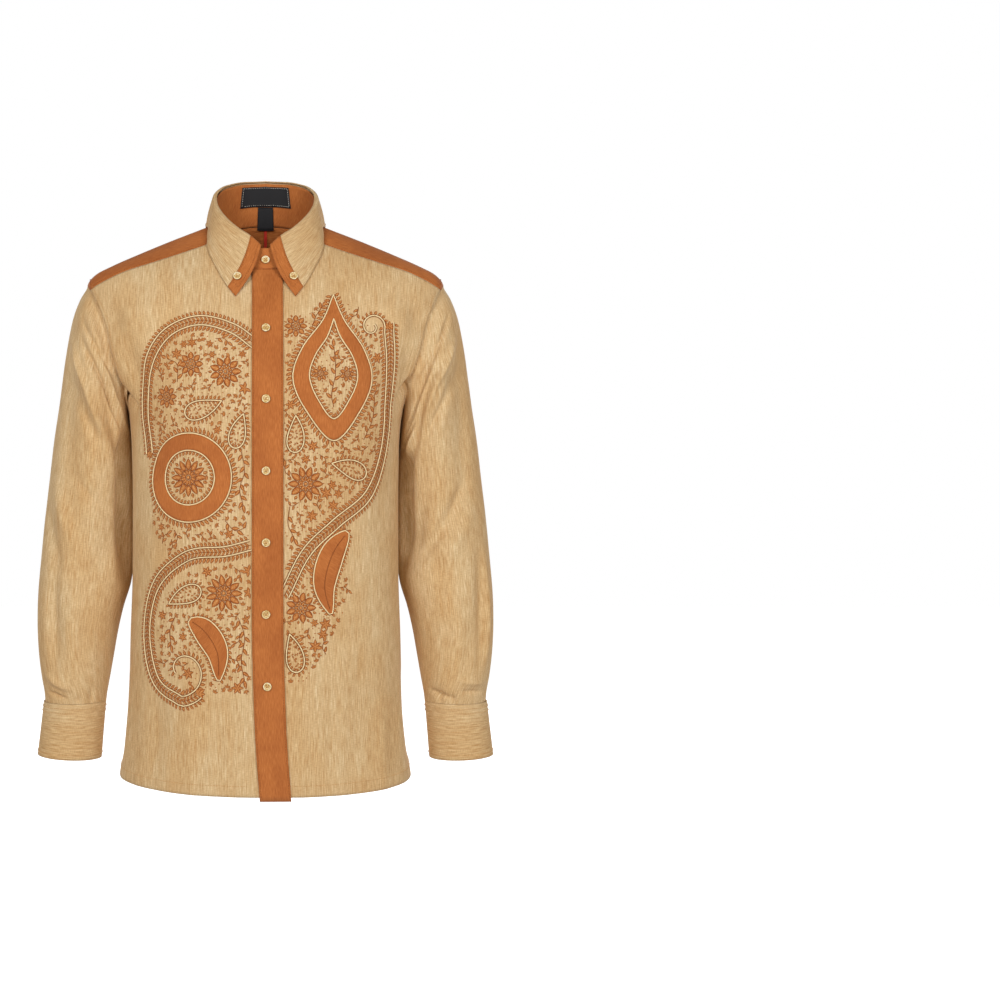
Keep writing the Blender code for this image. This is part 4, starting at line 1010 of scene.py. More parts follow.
def make_sleeves():
    """Both sleeves with their plackets and cuffs; gives back the left placket's and cuff's points."""
    turns = np.arange(-180, 180, 360 / SLEEVE_COLUMNS)
    last = len(SLEEVE) + 1
    rings = np.linspace(0, last, SLEEVE_ROWS + 1)
    half_turn = math.degrees(SLEEVE_PLACKET_WIDTH / 2 / SLEEVE_PLACKET_RADIUS)
    placket_turns = SLEEVE_PLACKET_TURN + np.linspace(-1, 1, 9) * half_turn
    placket_rings = np.linspace(SLEEVE_PLACKET_TOP, last - SLEEVE_PLACKET_SHORT, 40)
    placket = np.stack([sleeve_point(ring, placket_turns, STRIP_HEIGHT) for ring in placket_rings])
    cuff_turns = np.linspace(CUFF_START, CUFF_END, CUFF_COLUMNS + 1)
    heights = np.linspace(CUFF[0, 0], CUFF[-1, 0], CUFF_ROWS + 1)
    cuff = np.stack([cuff_point(cuff_turns, height) for height in heights])
    for side, name, finer in ((1, "left", LEFT_SLEEVE_CREASES), (-1, "right", RIGHT_SLEEVE_CREASES)):
        flip = side < 0
        tube = np.stack([sleeve_point(ring, turns, finer=finer) for ring in rings])
        points = trimmed(mirrored(tube, side), EDGE_GAP, wrap=True)
        uv = sleeve_grain(points, side)
        cloth(f"sleeve_{name}_cloth", points, LINEN, [f"sleeve_{name}"], wrap=True, flip=flip, uv=uv)
        node = f"sleeve_placket_{name}"
        cloth(f"{node}_cloth", mirrored(placket, side), LINEN, [node], TRIM_WALL, flip=flip)
        node = f"cuff_{name}"
        cloth(f"{node}_cloth", mirrored(cuff, side), LINEN, [node], flip=flip, crosswise=True)
    return placket, cuff


def make_collar():
    """The stand, the leaf folded over it and the rust bands along the leaf's leading edges."""
    angles = np.radians(np.linspace(360 + STAND_UNDER_END, STAND_TOP_END, STAND_COLUMNS + 1))
    stand = np.stack([stand_point(angles, share) for share in np.linspace(0, 1, STAND_ROWS + 1)])
    cloth("collar_stand_cloth", stand, RUST, ["collar_stand"], flip=True)
    places = np.linspace(COLLAR_BAND, 1, LEAF_COLUMNS + 1)
    halves = [leaf_half(places, side) for side in (-1, 1)]
    leaf = np.concatenate([halves[0], halves[1][:, -2::-1]], 1)
    cloth("collar_leaf_cloth", trimmed(leaf, EDGE_GAP), LINEN, ["collar_leaf"], crosswise=True)
    band = np.linspace(0, COLLAR_BAND, BAND_COLUMNS + 1)
    for side, name in ((1, "left"), (-1, "right")):
        points = trimmed(leaf_half(band, side), EDGE_GAP)
        cloth(f"collar_band_{name}_cloth", points, RUST, [f"collar_band_{name}"], flip=side > 0)


def make_label():
    """A blank woven label, its size tab and the red tape that hangs from it."""

    def strip(half_angle, bottom, top, columns):
        angles = math.pi + np.radians(np.linspace(-half_angle, half_angle, columns))
        shares = np.linspace(bottom, top, 9)
        return np.stack([stand_point(angles, share, -LAP_HEIGHT, lapped=False) for share in shares])

    main = strip(LABEL_ANGLE, LABEL_BOTTOM, LABEL_TOP, 33)
    tab = strip(TAB_ANGLE, TAB_BOTTOM, LABEL_BOTTOM - TAB_GAP, 9)
    cloth("neck_label_tape", main, LABEL, ["neck_label"], TRIM_WALL)
    cloth("size_tab_tape", tab, LABEL, ["size_tab"], TRIM_WALL)
    angles = math.pi + np.radians(np.linspace(-RED_TAPE_ANGLE, RED_TAPE_ANGLE, 5))
    top = neck_height(np.array([math.pi]))[0] - RED_TAPE_DROP
    heights = np.linspace(RED_TAPE_FOOT, top, 13)
    tape = body_point(angles[None, :], heights[:, None], -LAP_HEIGHT)
    cloth("red_neck_tape", tape, RED_TAPE, [], RED_TAPE_WALL)
    border = Stitching("label_stitches", LABEL_THREAD, "label_tape")

    def on_label(angle, share):
        return lambda out: stand_point(angle, share, -LAP_HEIGHT - TRIM_WALL - out, lapped=False)

    angle = math.pi + np.radians(np.linspace(-LABEL_ANGLE, LABEL_ANGLE, 40)) * LABEL_BORDER
    middle, half_height = (LABEL_BOTTOM + LABEL_TOP) / 2, (LABEL_TOP - LABEL_BOTTOM) / 2 * LABEL_BORDER_HEIGHT
    share = middle + np.linspace(-1, 1, 12) * half_height
    for edge in (share[0], share[-1]):
        border.row(on_label(angle, edge), LABEL_STITCH_PITCH)
    for edge in (angle[:1], angle[-1:]):
        border.row(on_label(edge, share[:, None]), LABEL_STITCH_PITCH)
    border.sew(stitch_shape())


# Repeats

def apply_nodes(name, mesh, tree, look, values):
    """Runs a node tree on a mesh and keeps the result as a plain piece."""
    carrier = put(name, mesh)
    modifier = carrier.modifiers.new("repeat", "NODES")
    modifier.node_group = tree
    sockets = {s.name: s.identifier for s in tree.interface.items_tree if s.in_out == "INPUT"}
    for key, value in {**values, "Material": look}.items():
        modifier[sockets[key]] = value
    graph = bpy.context.evaluated_depsgraph_get()
    result = bpy.data.meshes.new_from_object(carrier.evaluated_get(graph))
    result.name = name
    bpy.data.objects.remove(carrier)
    made = put(name, result)
    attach(made, "root")
    return made


def start_tree(name, **inputs):
    """A node tree and the outputs that its inputs come from."""
    tree = bpy.data.node_groups.new(name, "GeometryNodeTree")
    for label, kind in {**inputs, "Material": "Material"}.items():
        tree.interface.new_socket(label, in_out="INPUT", socket_type=f"NodeSocket{kind}")
    tree.interface.new_socket("Result", in_out="OUTPUT", socket_type="NodeSocketGeometry")
    return tree, add(tree, "NodeGroupInput").outputs


def end_tree(tree, geometry, material):
    """Makes the tree's result real and gives it its material."""
    real = add(tree, "GeometryNodeRealizeInstances", {"Geometry": geometry}).outputs["Geometry"]
    painted = add(tree, "GeometryNodeSetMaterial", {"Geometry": real, "Material": material})
    add(tree, "NodeGroupOutput", {"Result": painted.outputs["Geometry"]})
    return tree


def placing_tree():
    """Sets a shape on every point, standing along its outward direction and turned to its run."""
    tree, given = start_tree("set shapes on points", Points="Geometry", Shape="Object")
    shape = add(tree, "GeometryNodeObjectInfo", {"Object": given["Shape"]}).outputs["Geometry"]
    names = ("outward", "run", "size")
    kind = "GeometryNodeInputNamedAttribute"
    given_at = [add(tree, kind, {"Name": name}, data_type="FLOAT_VECTOR") for name in names]
    outward, run, size = (node.outputs["Attribute"] for node in given_at)
    axes = {"Primary Axis": outward, "Secondary Axis": run}
    turn = add(tree, "FunctionNodeAxesToRotation", axes, primary_axis="Z", secondary_axis="X")
    turned = turn.outputs["Rotation"]
    inputs = {"Points": given["Points"], "Instance": shape, "Rotation": turned, "Scale": size}
    placed = add(tree, "GeometryNodeInstanceOnPoints", inputs)
    return end_tree(tree, placed.outputs["Instances"], given["Material"])


def cord_tree():
    """Turns lines into round cords of one thickness, with closed ends."""
    tree, given = start_tree("lay cords on lines", Lines="Geometry", Radius="Float")
    line = add(tree, "GeometryNodeMeshToCurve", {"Mesh": given["Lines"]}).outputs["Curve"]
    ring = add(tree, "GeometryNodeCurvePrimitiveCircle", {"Resolution": 6, "Radius": given["Radius"]})
    inputs = {"Curve": line, "Profile Curve": ring.outputs["Curve"], "Fill Caps": True}
    tube = add(tree, "GeometryNodeCurveToMesh", inputs).outputs["Mesh"]
    soft = add(tree, "GeometryNodeSetShadeSmooth", {"Geometry": tube})
    return end_tree(tree, soft.outputs["Geometry"], given["Material"])


PLACING, CORDS = placing_tree(), cord_tree()


def place_shapes(name, shape, look, places, outward, run, size=(1, 1, 1)):
    """One piece of many equal shapes, one at each place.

    The rows of outward, run and size are used over again where there are more places than rows.
    """
    mesh = new_mesh(name, places)
    for label, values in (("outward", outward), ("run", run), ("size", size)):
        layer = mesh.attributes.new(label, "FLOAT_VECTOR", "POINT")
        layer.data.foreach_set("vector", np.resize(np.asarray(values, np.float32), np.size(places)))
    return apply_nodes(name, mesh, PLACING, look, {"Shape": shape})


def lay_cords(name, lines, radius, look):
    """One piece of cords, one along each line of points."""
    points, edges = [], []
    for line in lines:
        edges += [(i, i + 1) for i in range(len(points), len(points) + len(line) - 1)]
        points += line.tolist()
    return apply_nodes(name, new_mesh(name, points, edges), CORDS, look, {"Radius": radius})


def hidden_shape(name, points, faces, uv=None, smooth=True):
    """A shape to repeat, kept out of the scene's collections."""
    mesh = new_mesh(name, points, faces=faces)
    if uv is not None:
        layer = mesh.uv_layers.new(name="UVMap")
        order = [v for face in faces for v in face]
        layer.data.foreach_set("uv", np.asarray(uv, np.float32)[order].ravel())
    if smooth:
        mesh.shade_smooth()
    return bpy.data.objects.new(name, mesh)


def round_turns(steps):
    return np.radians(np.arange(0, 360, 360 / steps))


def ring_faces(rings, steps):
    """Faces between rings of points, listed ring by ring, and one across each end."""
    faces = []
    for first in range(0, (rings - 1) * steps, steps):
        for c in range(steps):
            d = (c + 1) % steps
            faces.append((first + c, first + steps + c, first + steps + d, first + d))
    last = rings * steps - 1
    return faces + [tuple(range(steps)), tuple(range(last, last - steps, -1))]


def stitch_shape():
    """One stitch 2.4 mm long, thickest in its middle and sunk at both ends."""
    # place along the stitch, lift and radius of each of its rings
    rings = [(-0.0012, -0.0002, 0.00012), (-0.0007, 0.00006, 0.00026)]
    rings += [(-x, lift, radius) for x, lift, radius in rings[::-1]]
    turn = round_turns(6)
    points = [(x, r * math.cos(t), lift + r * math.sin(t)) for x, lift, r in rings for t in turn]
    return hidden_shape("stitch", points, ring_faces(len(rings), len(turn)))


def along_line(line, pitch):
    """Places and directions at an even pitch along a line of points."""
    length = np.concatenate([[0], np.cumsum(np.linalg.norm(np.diff(line, axis=0), axis=-1))])
    count = max(int(length[-1] / pitch), 1)
    at = (np.arange(count) + 0.5) * length[-1] / count
    places, ahead, behind = (
        np.stack([np.interp(at + shift * pitch, length, column) for column in line.T], -1)
        for shift in (0, 0.1, -0.1)
    )
    return places, unit(ahead - behind)


class Stitching:
    """Gathers the rows of stitches of one thread and sews them as one piece."""

    def __init__(self, name, look, slot):
        self.name, self.look, self.slot = name, look, slot
        self.places, self.outward, self.run = [], [], []

    def row(self, surface, pitch=STITCH_PITCH):
        """A row along surface(out), which gives the line of points moved out by that much."""
        low, high = surface(STITCH_LIFT), surface(0.002)
        places, run = along_line(low, pitch)
        above, _ = along_line(high, pitch)
        count = min(len(places), len(above))
        self.places.append(places[:count])
        self.outward.append(unit(above[:count] - places[:count]))
        self.run.append(run[:count])

    def sew(self, shape):
        places, outward, run = (np.concatenate(rows) for rows in (self.places, self.outward, self.run))
        place_shapes(self.name, shape, self.look, places, outward, run)


def shell_row(points, flip):
    """surface(out) of a row inside a grid, taken from the grid's own outward direction."""
    outward = outward_of(points, flip)
    return lambda r, c: (lambda out: (points + outward * out)[r, c])


def on_cloth(angle, height, lift=0.0):
    """surface(out) of a line on the body's cloth."""
    return lambda out: body_point(angle, height, lift + out)


def sew_seams(placket, cuff):
    """The rows of stitches along the seams, hems and edges of the left and right strips and cuffs."""
    tan = Stitching("tan_topstitching", LINEN_THREAD, "linen")
    rust = Stitching("rust_topstitching", RUST_THREAD, "rust_cloth")
    heights = np.linspace(HEM_FRONT, PLACKET_STITCH_TOP, 260)
    inset = PLACKET_WIDTH / 2 - PLACKET_STITCH_INSET
    for offset in (-inset, inset):
        angle = angle_at(smooth(PLACKET_LINE, 1, heights) + offset, heights)
        rust.row(on_cloth(angle, heights, LAP_HEIGHT))
    leaf_places = np.linspace(COLLAR_BAND, 1, LEAF_COLUMNS + 1)
    band_places = np.linspace(0, COLLAR_BAND, BAND_COLUMNS + 1)
    share = np.linspace(0.02, 1, 80)
    for side in (1, -1):
        rise = HEM_TURNING - HEM_STITCH_INSET
        hem = HEM_FRONT + (HEM_SIDE - HEM_FRONT) * share**3 + rise
        tan.row(on_cloth(side * share[8:] * math.pi / 2, hem[8:], HEM_RISE))
        hem = HEM_BACK + (HEM_SIDE - HEM_BACK) * (1 - share) ** 3 + rise
        tan.row(on_cloth(side * (1 + share) * math.pi / 2, hem, HEM_RISE))
        for seam in (yoke_front_seam(np.linspace(0.0, 0.99, 90)), yoke_back_seam(np.linspace(0.01, 1, 90))):
            rust.row(on_cloth(side * seam[:, 0], seam[:, 1] + YOKE_STITCH_INSET))
        for start, end, count, thread in (
            (YOKE_FRONT_TURN + 1, 180, 90, tan),
            (-180, YOKE_BACK_TURN - 1, 90, tan),
            (YOKE_BACK_TURN + 1, YOKE_FRONT_TURN - 1, 70, rust),
        ):
            hole = armhole(np.linspace(start, end, count), ARMHOLE_STITCH_SCALE)
            thread.row(on_cloth(side * hole[:, 0], hole[:, 1]))
        on_cuff = shell_row(mirrored(cuff, side), side < 0)
        for row in (2, CUFF_ROWS - 2, CUFF_ROWS - 4):
            tan.row(on_cuff(row, slice(2, -2)))
        for column in (2, -3):
            tan.row(on_cuff(slice(2, -2), column))
        on_strip = shell_row(mirrored(placket, side), side < 0)
        for column in (1, -2):
            tan.row(on_strip(slice(2, -1), column))
        tan.row(on_strip(2, slice(1, -1)))
        tan.row(shell_row(leaf_half(leaf_places, side), side > 0)(-4, slice(1, None)))
        on_band = shell_row(leaf_half(band_places, side), side > 0)
        for column in (2, -2):
            rust.row(on_band(slice(4, -3), column))
        rust.row(on_band(-4, slice(2, -1)))
    shape = stitch_shape()
    tan.sew(shape)
    rust.sew(shape)


# Buttons

def button_shape():
    """A turned button with a raised rim and a dished middle."""
    # radius and height along the button's outline, from the middle of its top to that of its foot
    rim, bowl = BUTTON_RADIUS, BUTTON_RADIUS * 0.62
    profile = [
        (0.0001, 0.0013),
        (bowl * 0.6, 0.0013),
        (bowl, 0.0017),
        (bowl + 0.0006, BUTTON_HEIGHT),
        (rim - 0.0007, BUTTON_HEIGHT),
        (rim - 0.0001, 0.0019),
        (rim, 0.0013),
        (rim * 0.8, 0.0001),
        (0.0001, 0.0001),
    ]
    turn = round_turns(36)
    points = [(r * math.cos(t), r * math.sin(t), z) for r, z in profile for t in turn]
    # V, the share of the radius, is what the horn's painted shade is read from
    uv = [(0.0, r / rim) for r, z in profile for t in turn]
    return hidden_shape("button", points, ring_faces(len(profile), len(turn)), uv)


def hole_shape():
    """The dark disc of painted shade that shows in each of a button's holes."""
    turn = round_turns(10)
    points = [(HOLE_RADIUS * math.cos(t), HOLE_RADIUS * math.sin(t), z) for z in (HOLE_WALL, 0) for t in turn]
    return hidden_shape("button hole", points, ring_faces(2, len(turn)), smooth=False)


def button_seats():
    """Each button's node, the point that it sits on and its outward direction."""
    seats = []

    def seat(node, point, outward, side=1):
        seats.append((node, mirrored(point + outward * BUTTON_GAP, side), mirrored(outward, side)))

    def seat_on(node, surface, side=1):
        low = surface(0.0)
        seat(node, low, unit(surface(0.01) - low), side)

    for i in range(FRONT_BUTTONS):
        height = np.float64(FRONT_BUTTON_TOP - i * FRONT_BUTTON_PITCH)
        angle = angle_at(smooth(PLACKET_LINE, 1, height) + FRONT_BUTTON_ASIDE, height)
        seat_on(f"button_front_{i + 1}", on_cloth(angle, height, LAP_HEIGHT))
    middle, above = (stand_point(np.zeros(1), share)[0] for share in (STAND_BUTTON_SHARE, 1.0))
    seat("button_stand", middle, unit(np.cross((1.0, 0.0, 0.0), above - middle)))
    places = COLLAR_BUTTON_PLACE + np.array([-1, 0, 1]) * COLLAR_BUTTON_SPREAD
    for side, name in ((1, "left"), (-1, "right")):
        near, below = leaf_half(places, side, COLLAR_BUTTON_ROWS)[-2:]
        middle = near[1] + (below[1] - near[1]) * COLLAR_BUTTON_SHARE
        seat(f"button_collar_{name}", middle, unit(np.cross(below[1] - near[1], near[2] - near[0]) * side))
        for i, height in enumerate(CUFF_BUTTON_HEIGHTS):
            place = (CUFF_BUTTON_TURN, np.float64(height))
            seat_on(f"button_cuff_{name}_{i + 1}", lambda out: cuff_point(*place, out), side)
        place = (SLEEVE_BUTTON_RING, np.array([SLEEVE_PLACKET_TURN]))
        seat_on(f"button_sleeve_{name}", lambda out: sleeve_point(*place, STRIP_HEIGHT + out)[0], side)
    return seats


def make_buttons():
    """The buttons, dark discs of painted shade in their holes and the crossed threads that hold them."""
    nodes, places, outward = zip(*button_seats())
    places, outward = np.array(places), np.array(outward)
    up = unit(np.array([0.0, 0.0, 1.0]) - outward * outward[:, 2:])
    aside = np.cross(outward, up)
    made = place_shapes("buttons", button_shape(), HORN, places, outward, up)
    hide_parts(*nodes)
    corners = [(a * HOLE_REACH, b * HOLE_REACH) for a in (-1, 1) for b in (-1, 1)]
    holes = np.concatenate([places + up * a + aside * b + outward * HOLE_HEIGHT for a, b in corners])
    # the holes are not cut: a dark disc in each paints the shade inside it
    made = place_shapes("button_holes", hole_shape(), RUST_THREAD, holes, outward, up)
    across = np.concatenate([unit(up + aside), unit(up - aside)])
    crossing = np.concatenate([places + outward * height for height in THREAD_HEIGHTS])
    size = (THREAD_STRETCH, 1, 1)
    made = place_shapes("button_threads", stitch_shape(), LINEN_THREAD, crossing, outward, across, size)


# Appliqué and embroidery on the fronts, in a medallion and vine design

PATCH_LIFT, PATCH_WALL, LEAF_RISE = 0.0008, 0.0007, 0.0008
STEM_RADIUS, STEM_LIFT, CORD_RADIUS, CORD_LIFT = 0.00042, 0.0003, 0.00078, 0.0007
# pitch, length and width of the small leaves that border a cord, the larger first
BORDERS = {
    "bold": (0.0054, 0.0080, 0.0042),
    "band": (0.0052, 0.0076, 0.0040),
    "curl": (0.0052, 0.0070, 0.0038),
    "edge": (0.0052, 0.0062, 0.0036),
    "rim": (0.0050, 0.0062, 0.0036),
    "shield": (0.0050, 0.0058, 0.0034),
    "drop": (0.0050, 0.0056, 0.0034),
    "fine": (0.0050, 0.0044, 0.0028),
    "bloom": (0.0046, 0.0046, 0.0028),
}
BAND_WIDTH, BESIDE_CORD, CORD_STITCHES, SHORT_SPRAY = 0.0120, 0.0014, 0.0013, 0.0070
# pitch of the scattered motifs and their least distance from all others, the larger motifs first
BLOOM_ROOM, SPRIG_ROOM = (0.0165, 0.0078), (0.0098, 0.0056)
KNOT_ROOM, STITCH_ROOM = (0.0070, 0.0040), (0.0046, 0.0026)
FRONT_HEIGHTS = np.linspace(-0.735, -0.085, 110)
FRONT_ANGLES = np.radians(np.linspace(0, 96, 150))


def girth_table():
    points = body_base(FRONT_ANGLES[None, :], FRONT_HEIGHTS[:, None])
    step = np.linalg.norm(np.diff(points, axis=1), axis=-1)
    return np.concatenate([np.zeros((len(points), 1)), np.cumsum(step, axis=1)], 1)


GIRTH = girth_table()


def on_front(flat, out=0.0):
    """Points of the fronts from flat (distance from the middle along the cloth, height) pairs."""
    flat = np.asarray(flat, float)
    shape = flat.shape[:-1]
    pairs = flat.reshape(-1, 2)
    row = (pairs[:, 1] - FRONT_HEIGHTS[0]) / (FRONT_HEIGHTS[1] - FRONT_HEIGHTS[0])
    low = np.clip(np.floor(row).astype(int), 0, len(FRONT_HEIGHTS) - 2)
    share = row - low
    reach = np.abs(pairs[:, 0])
    first = np.array([np.interp(r, GIRTH[i], FRONT_ANGLES) for r, i in zip(reach, low)])
    second = np.array([np.interp(r, GIRTH[i + 1], FRONT_ANGLES) for r, i in zip(reach, low)])
    angle = (first * (1 - share) + second * share) * np.sign(pairs[:, 0])
    return body_point(angle, pairs[:, 1], out).reshape(*shape, 3)


def curve(through, steps=12):
    """A smooth line through a few flat points."""
    p = np.asarray(through, float)
    p = np.concatenate([[2 * p[0] - p[1]], p, [2 * p[-1] - p[-2]]])
    t = np.linspace(0, 1, steps, endpoint=False)[:, None]
    runs = []
    for a, b, c, d in zip(p[:-3], p[1:-2], p[2:-1], p[3:]):
        square, cube = 2 * a - 5 * b + 4 * c - d, 3 * b - a - 3 * c + d
        runs.append(0.5 * (2 * b + (c - a) * t + square * t**2 + cube * t**3))
    return np.concatenate([*runs, p[-2:-1]])


def coil(centre, outer, inner, start, end, steps):
    turn = np.radians(np.linspace(start, end, steps))
    radius = np.linspace(outer, inner, steps)
    return np.stack([centre[0] + radius * np.cos(turn), centre[1] + radius * np.sin(turn)], -1)


def circle(centre, radius, steps=72):
    return coil(centre, radius, radius, 0, 360, steps + 1)


def beside(line, distance):
    """A line parallel to this one, to the left of its run where the distance is positive."""
    run = unit(np.gradient(line, axis=0))
    return line + np.stack([-run[:, 1], run[:, 0]], -1) * distance


def inside(points, outline):
    """Which flat points lie within a closed outline."""
    a, b = outline, np.roll(outline, -1, axis=0)
    x, y = points[:, :1], points[:, 1:]
    at = (b[:, 0] - a[:, 0]) * (y - a[:, 1]) / (b[:, 1] - a[:, 1] + 1e-12) + a[:, 0]
    return (((a[:, 1] > y) != (b[:, 1] > y)) & (x < at)).sum(1) % 2 == 1


def teardrop(centre, length, turn, bend=0.25, steps=40):
    """The outline of a drop whose tip points along turn, in degrees, and leans to one side."""
    t = np.linspace(0, 2 * np.pi, steps, endpoint=False)
    along = -np.cos(t) * 0.5
    aside = 0.30 * np.sin(t) * np.sqrt(np.clip(0.5 - along, 0, 1)) + bend * np.clip(along, 0, 1) ** 2
    way = np.radians(turn)
    ahead, left = np.array([np.cos(way), np.sin(way)]), np.array([-np.sin(way), np.cos(way)])
    return np.asarray(centre) + length * (along[:, None] * ahead + aside[:, None] * left)


def closed(outline):
    return np.concatenate([outline, outline[:1]])


class Embroidery:
    """Gathers cords, leaves and petals of the flat design and works them onto the fronts."""

    def __init__(self):
        self.cords, self.fine, self.veins, self.leaves, self.dots, self.taken = [], [], [], [], [], []
        self.chance = np.random.default_rng(7)

    def cord(self, *lines):
        """A cream cord with a dark line of stitches on each side."""
        for line in lines:
            self.cords.append(line)
            self.fine += [beside(line, CORD_STITCHES), beside(line, -CORD_STITCHES)]
            self.taken.append(along_line(line, 0.0015)[0])

    def band(self, line, width):
        """Two cords side by side, a chain of leaves between them and a border outside each."""
        way = 1 if width > 0 else -1
        other = beside(line, -width)
        self.cord(line, other)
        self.border(beside(line, way * BESIDE_CORD), "band", way * 62)
        self.border(beside(other, -way * BESIDE_CORD), "edge", -way * 62)
        middle = beside(line, -width * 0.5)
        self.fine.append(middle)
        for place, run in zip(*along_line(middle, 0.0050)):
            turn = math.atan2(run[1], run[0])
            for side in (1, -1):
                self.leaf(place, turn + side * math.radians(42), abs(width) * 0.56, 0.0030)

    def leaf(self, place, turn, length, width):
        self.leaves.append((*place, turn, length, width))

    def border(self, line, kind, lean):
        """Small leaves that stand off a line, all leaning the same way along it."""
        pitch, length, width = BORDERS[kind]
        for place, way in zip(*along_line(line, pitch)):
            self.leaf(place, math.atan2(way[1], way[0]) + math.radians(lean), length, width)

    def spray(self, line, pitch=0.0072, length=0.0100, width=0.0046, lean=42):
        """A stem with leaves on both sides in turn and one at its tip."""
        self.fine.append(line)
        for i, (place, way) in enumerate(zip(*along_line(line, pitch))):
            side = 1 if i % 2 else -1
            self.leaf(place, math.atan2(way[1], way[0]) + side * math.radians(lean), length, width)
        self.leaf(line[-1], math.atan2(*(line[-1] - line[-2])[::-1]), length * 1.1, width)

    def rosette(self, centre, radius, petals, turn=0.0):
        """Petals round a ring of short ones and a seed, with a line of stitches and knots about them."""
        centre = np.asarray(centre)
        for i in range(petals):
            angle = turn + 2 * math.pi * i / petals
            start = centre + 0.36 * radius * np.array([math.cos(angle), math.sin(angle)])
            self.leaf(start, angle, radius * 0.62, radius * 3.8 / petals)
            inner = angle + math.pi / petals
            way = np.array([math.cos(inner), math.sin(inner)])
            self.leaf(centre + 0.12 * radius * way, inner, radius * 0.34, radius * 0.18)
            self.leaf(centre + 0.80 * radius * way, inner, radius * 0.26, radius * 0.16)
        self.fine.append(circle(centre, radius * 0.38, 24))
        self.dots.append((*centre, radius * 0.12))
        self.taken.append(circle(centre, radius * 0.5, 12))

    def drop(self, centre, length, turn, bend=0.25):
        """A corded teardrop, bordered outside and filled with small stitches."""
        outline = closed(teardrop(centre, length, turn, bend))
        self.cord(outline)
        self.border(beside(outline, BESIDE_CORD), "drop", 62)
        self.border(beside(outline, -BESIDE_CORD), "fine", -62)
        self.fill(outline[:-1])

    def fan(self, place, turn, length=0.0110):
        """Five leaves that spread from the end of a band and close it, with a knot at their root."""
        for lean in (-70, -35, 0, 35, 70):
            self.leaf(place, math.radians(turn + lean), length * (1 - abs(lean) / 280), 0.0050)
        self.dots.append((*place, 0.0018))

    def free(self, outline, pitch, clear):
        """Jittered places inside an outline that are this clear of all that is there."""
        low, high = outline.min(0), outline.max(0)
        rows = np.arange(low[1], high[1], pitch * 0.87)
        columns = np.arange(low[0], high[0], pitch)
        grid = np.array([(x + pitch / 2 * (i % 2), z) for i, z in enumerate(rows) for x in columns])
        grid = grid + self.chance.uniform(-0.22, 0.22, grid.shape) * pitch
        grid = grid[inside(grid, outline)]
        leaves = np.array(self.leaves)
        way = np.stack([np.cos(leaves[:, 2]), np.sin(leaves[:, 2])], -1)
        middles = leaves[:, :2] + way * leaves[:, 3:4] / 2
        taken = np.concatenate([middles, leaves[:, :2], *self.taken])
        near = [np.hypot(*(taken - place).T).min() for place in grid]
        return grid[np.array(near) > clear]

    def fill(self, outline):
        """Short single stitches scattered in an outline."""
        for place in self.free(outline, *STITCH_ROOM):
            self.leaf(place, self.chance.uniform(0, 2 * math.pi), 0.0036, 0.0020)

    def scatter(self, outline):
        """Sprigs and blooms of several sizes wherever the outline has room, smaller ones between them."""
        outline = np.array(outline)
        for place in self.free(outline, *BLOOM_ROOM):
            turn, grow = self.chance.uniform(0, 2 * math.pi), self.chance.uniform(0.85, 1.35)
            if self.chance.random() < 0.4:
                for i in range(6):
                    self.leaf(place, turn + i * math.pi / 3, 0.0066 * grow, 0.0034 * grow)
                self.dots.append((*place, 0.0012 * grow))
                continue
            way = np.array([math.cos(turn), math.sin(turn)])
            bow = np.array([-way[1], way[0]]) * 0.0022 * grow
            stem = curve([place - way * 0.0070 * grow, place + bow, place + way * 0.0050 * grow], 6)
            self.spray(stem, 0.0042 * grow, 0.0062 * grow, 0.0030 * grow, 46)
        for place in self.free(outline, *SPRIG_ROOM):
            turn = self.chance.uniform(0, 2 * math.pi)
            back = place - 0.0026 * np.array([math.cos(turn), math.sin(turn)])
            for lean, length in ((-0.75, 0.0050), (0.0, 0.0060), (0.75, 0.0050)):
                self.leaf(back, turn + lean, length, 0.0026)
        self.dots += [(*place, 0.0009) for place in self.free(outline, *KNOT_ROOM)]

    def work(self):
        """All leaves, dots and cords as four pieces on the cloth."""
        def clear(u, z):
            return abs(u - smooth(PLACKET_LINE, 1, z)) > PLACKET_WIDTH / 2 + 0.001

        def tip(m):
            return m[0] + m[3] * math.cos(m[2]), m[1] + m[3] * math.sin(m[2])

        def set_on(name, shape, flat, run, size):
            places = on_front(flat, 0.0001)
            outward = unit(on_front(flat, 0.002) - places)
            run = np.cross(outward, (0.0, 1.0, 0.0)) + np.array([0.0, 0.0, 1e-4]) if run is None else run
            return place_shapes(name, shape, SATIN, places, outward, unit(run), size)

        rows = np.array([m for m in self.leaves if clear(m[0], m[1]) and clear(*tip(m))])
        start, way = rows[:, :2], np.stack([np.cos(rows[:, 2]), np.sin(rows[:, 2])], -1)
        run = on_front(start + way * rows[:, 3:4], 0.0001) - on_front(start, 0.0001)
        size = np.stack([rows[:, 3], rows[:, 4], np.full(len(rows), LEAF_RISE)], -1)
        made = [set_on("embroidered_leaves", leaf_shape(), start + way * rows[:, 3:4] / 2, run, size)]
        rows = np.array([d for d in self.dots if clear(d[0], d[1])])
        size = rows[:, 2:] * np.array([1, 1, 0.55])
        made.append(set_on("embroidered_knots", knot_shape(), rows[:, :2], None, size))
        lines = [on_front(line, STEM_LIFT) for line in self.fine]
        lines += [on_front(line, PATCH_LIFT + STEM_LIFT) for line in self.veins]
        made.append(lay_cords("rust_stems", lines, STEM_RADIUS, RUST_THREAD))
        lines = [on_front(line, CORD_LIFT) for line in self.cords]
        lay_cords("cream_cords", lines, CORD_RADIUS, CREAM_CORD)


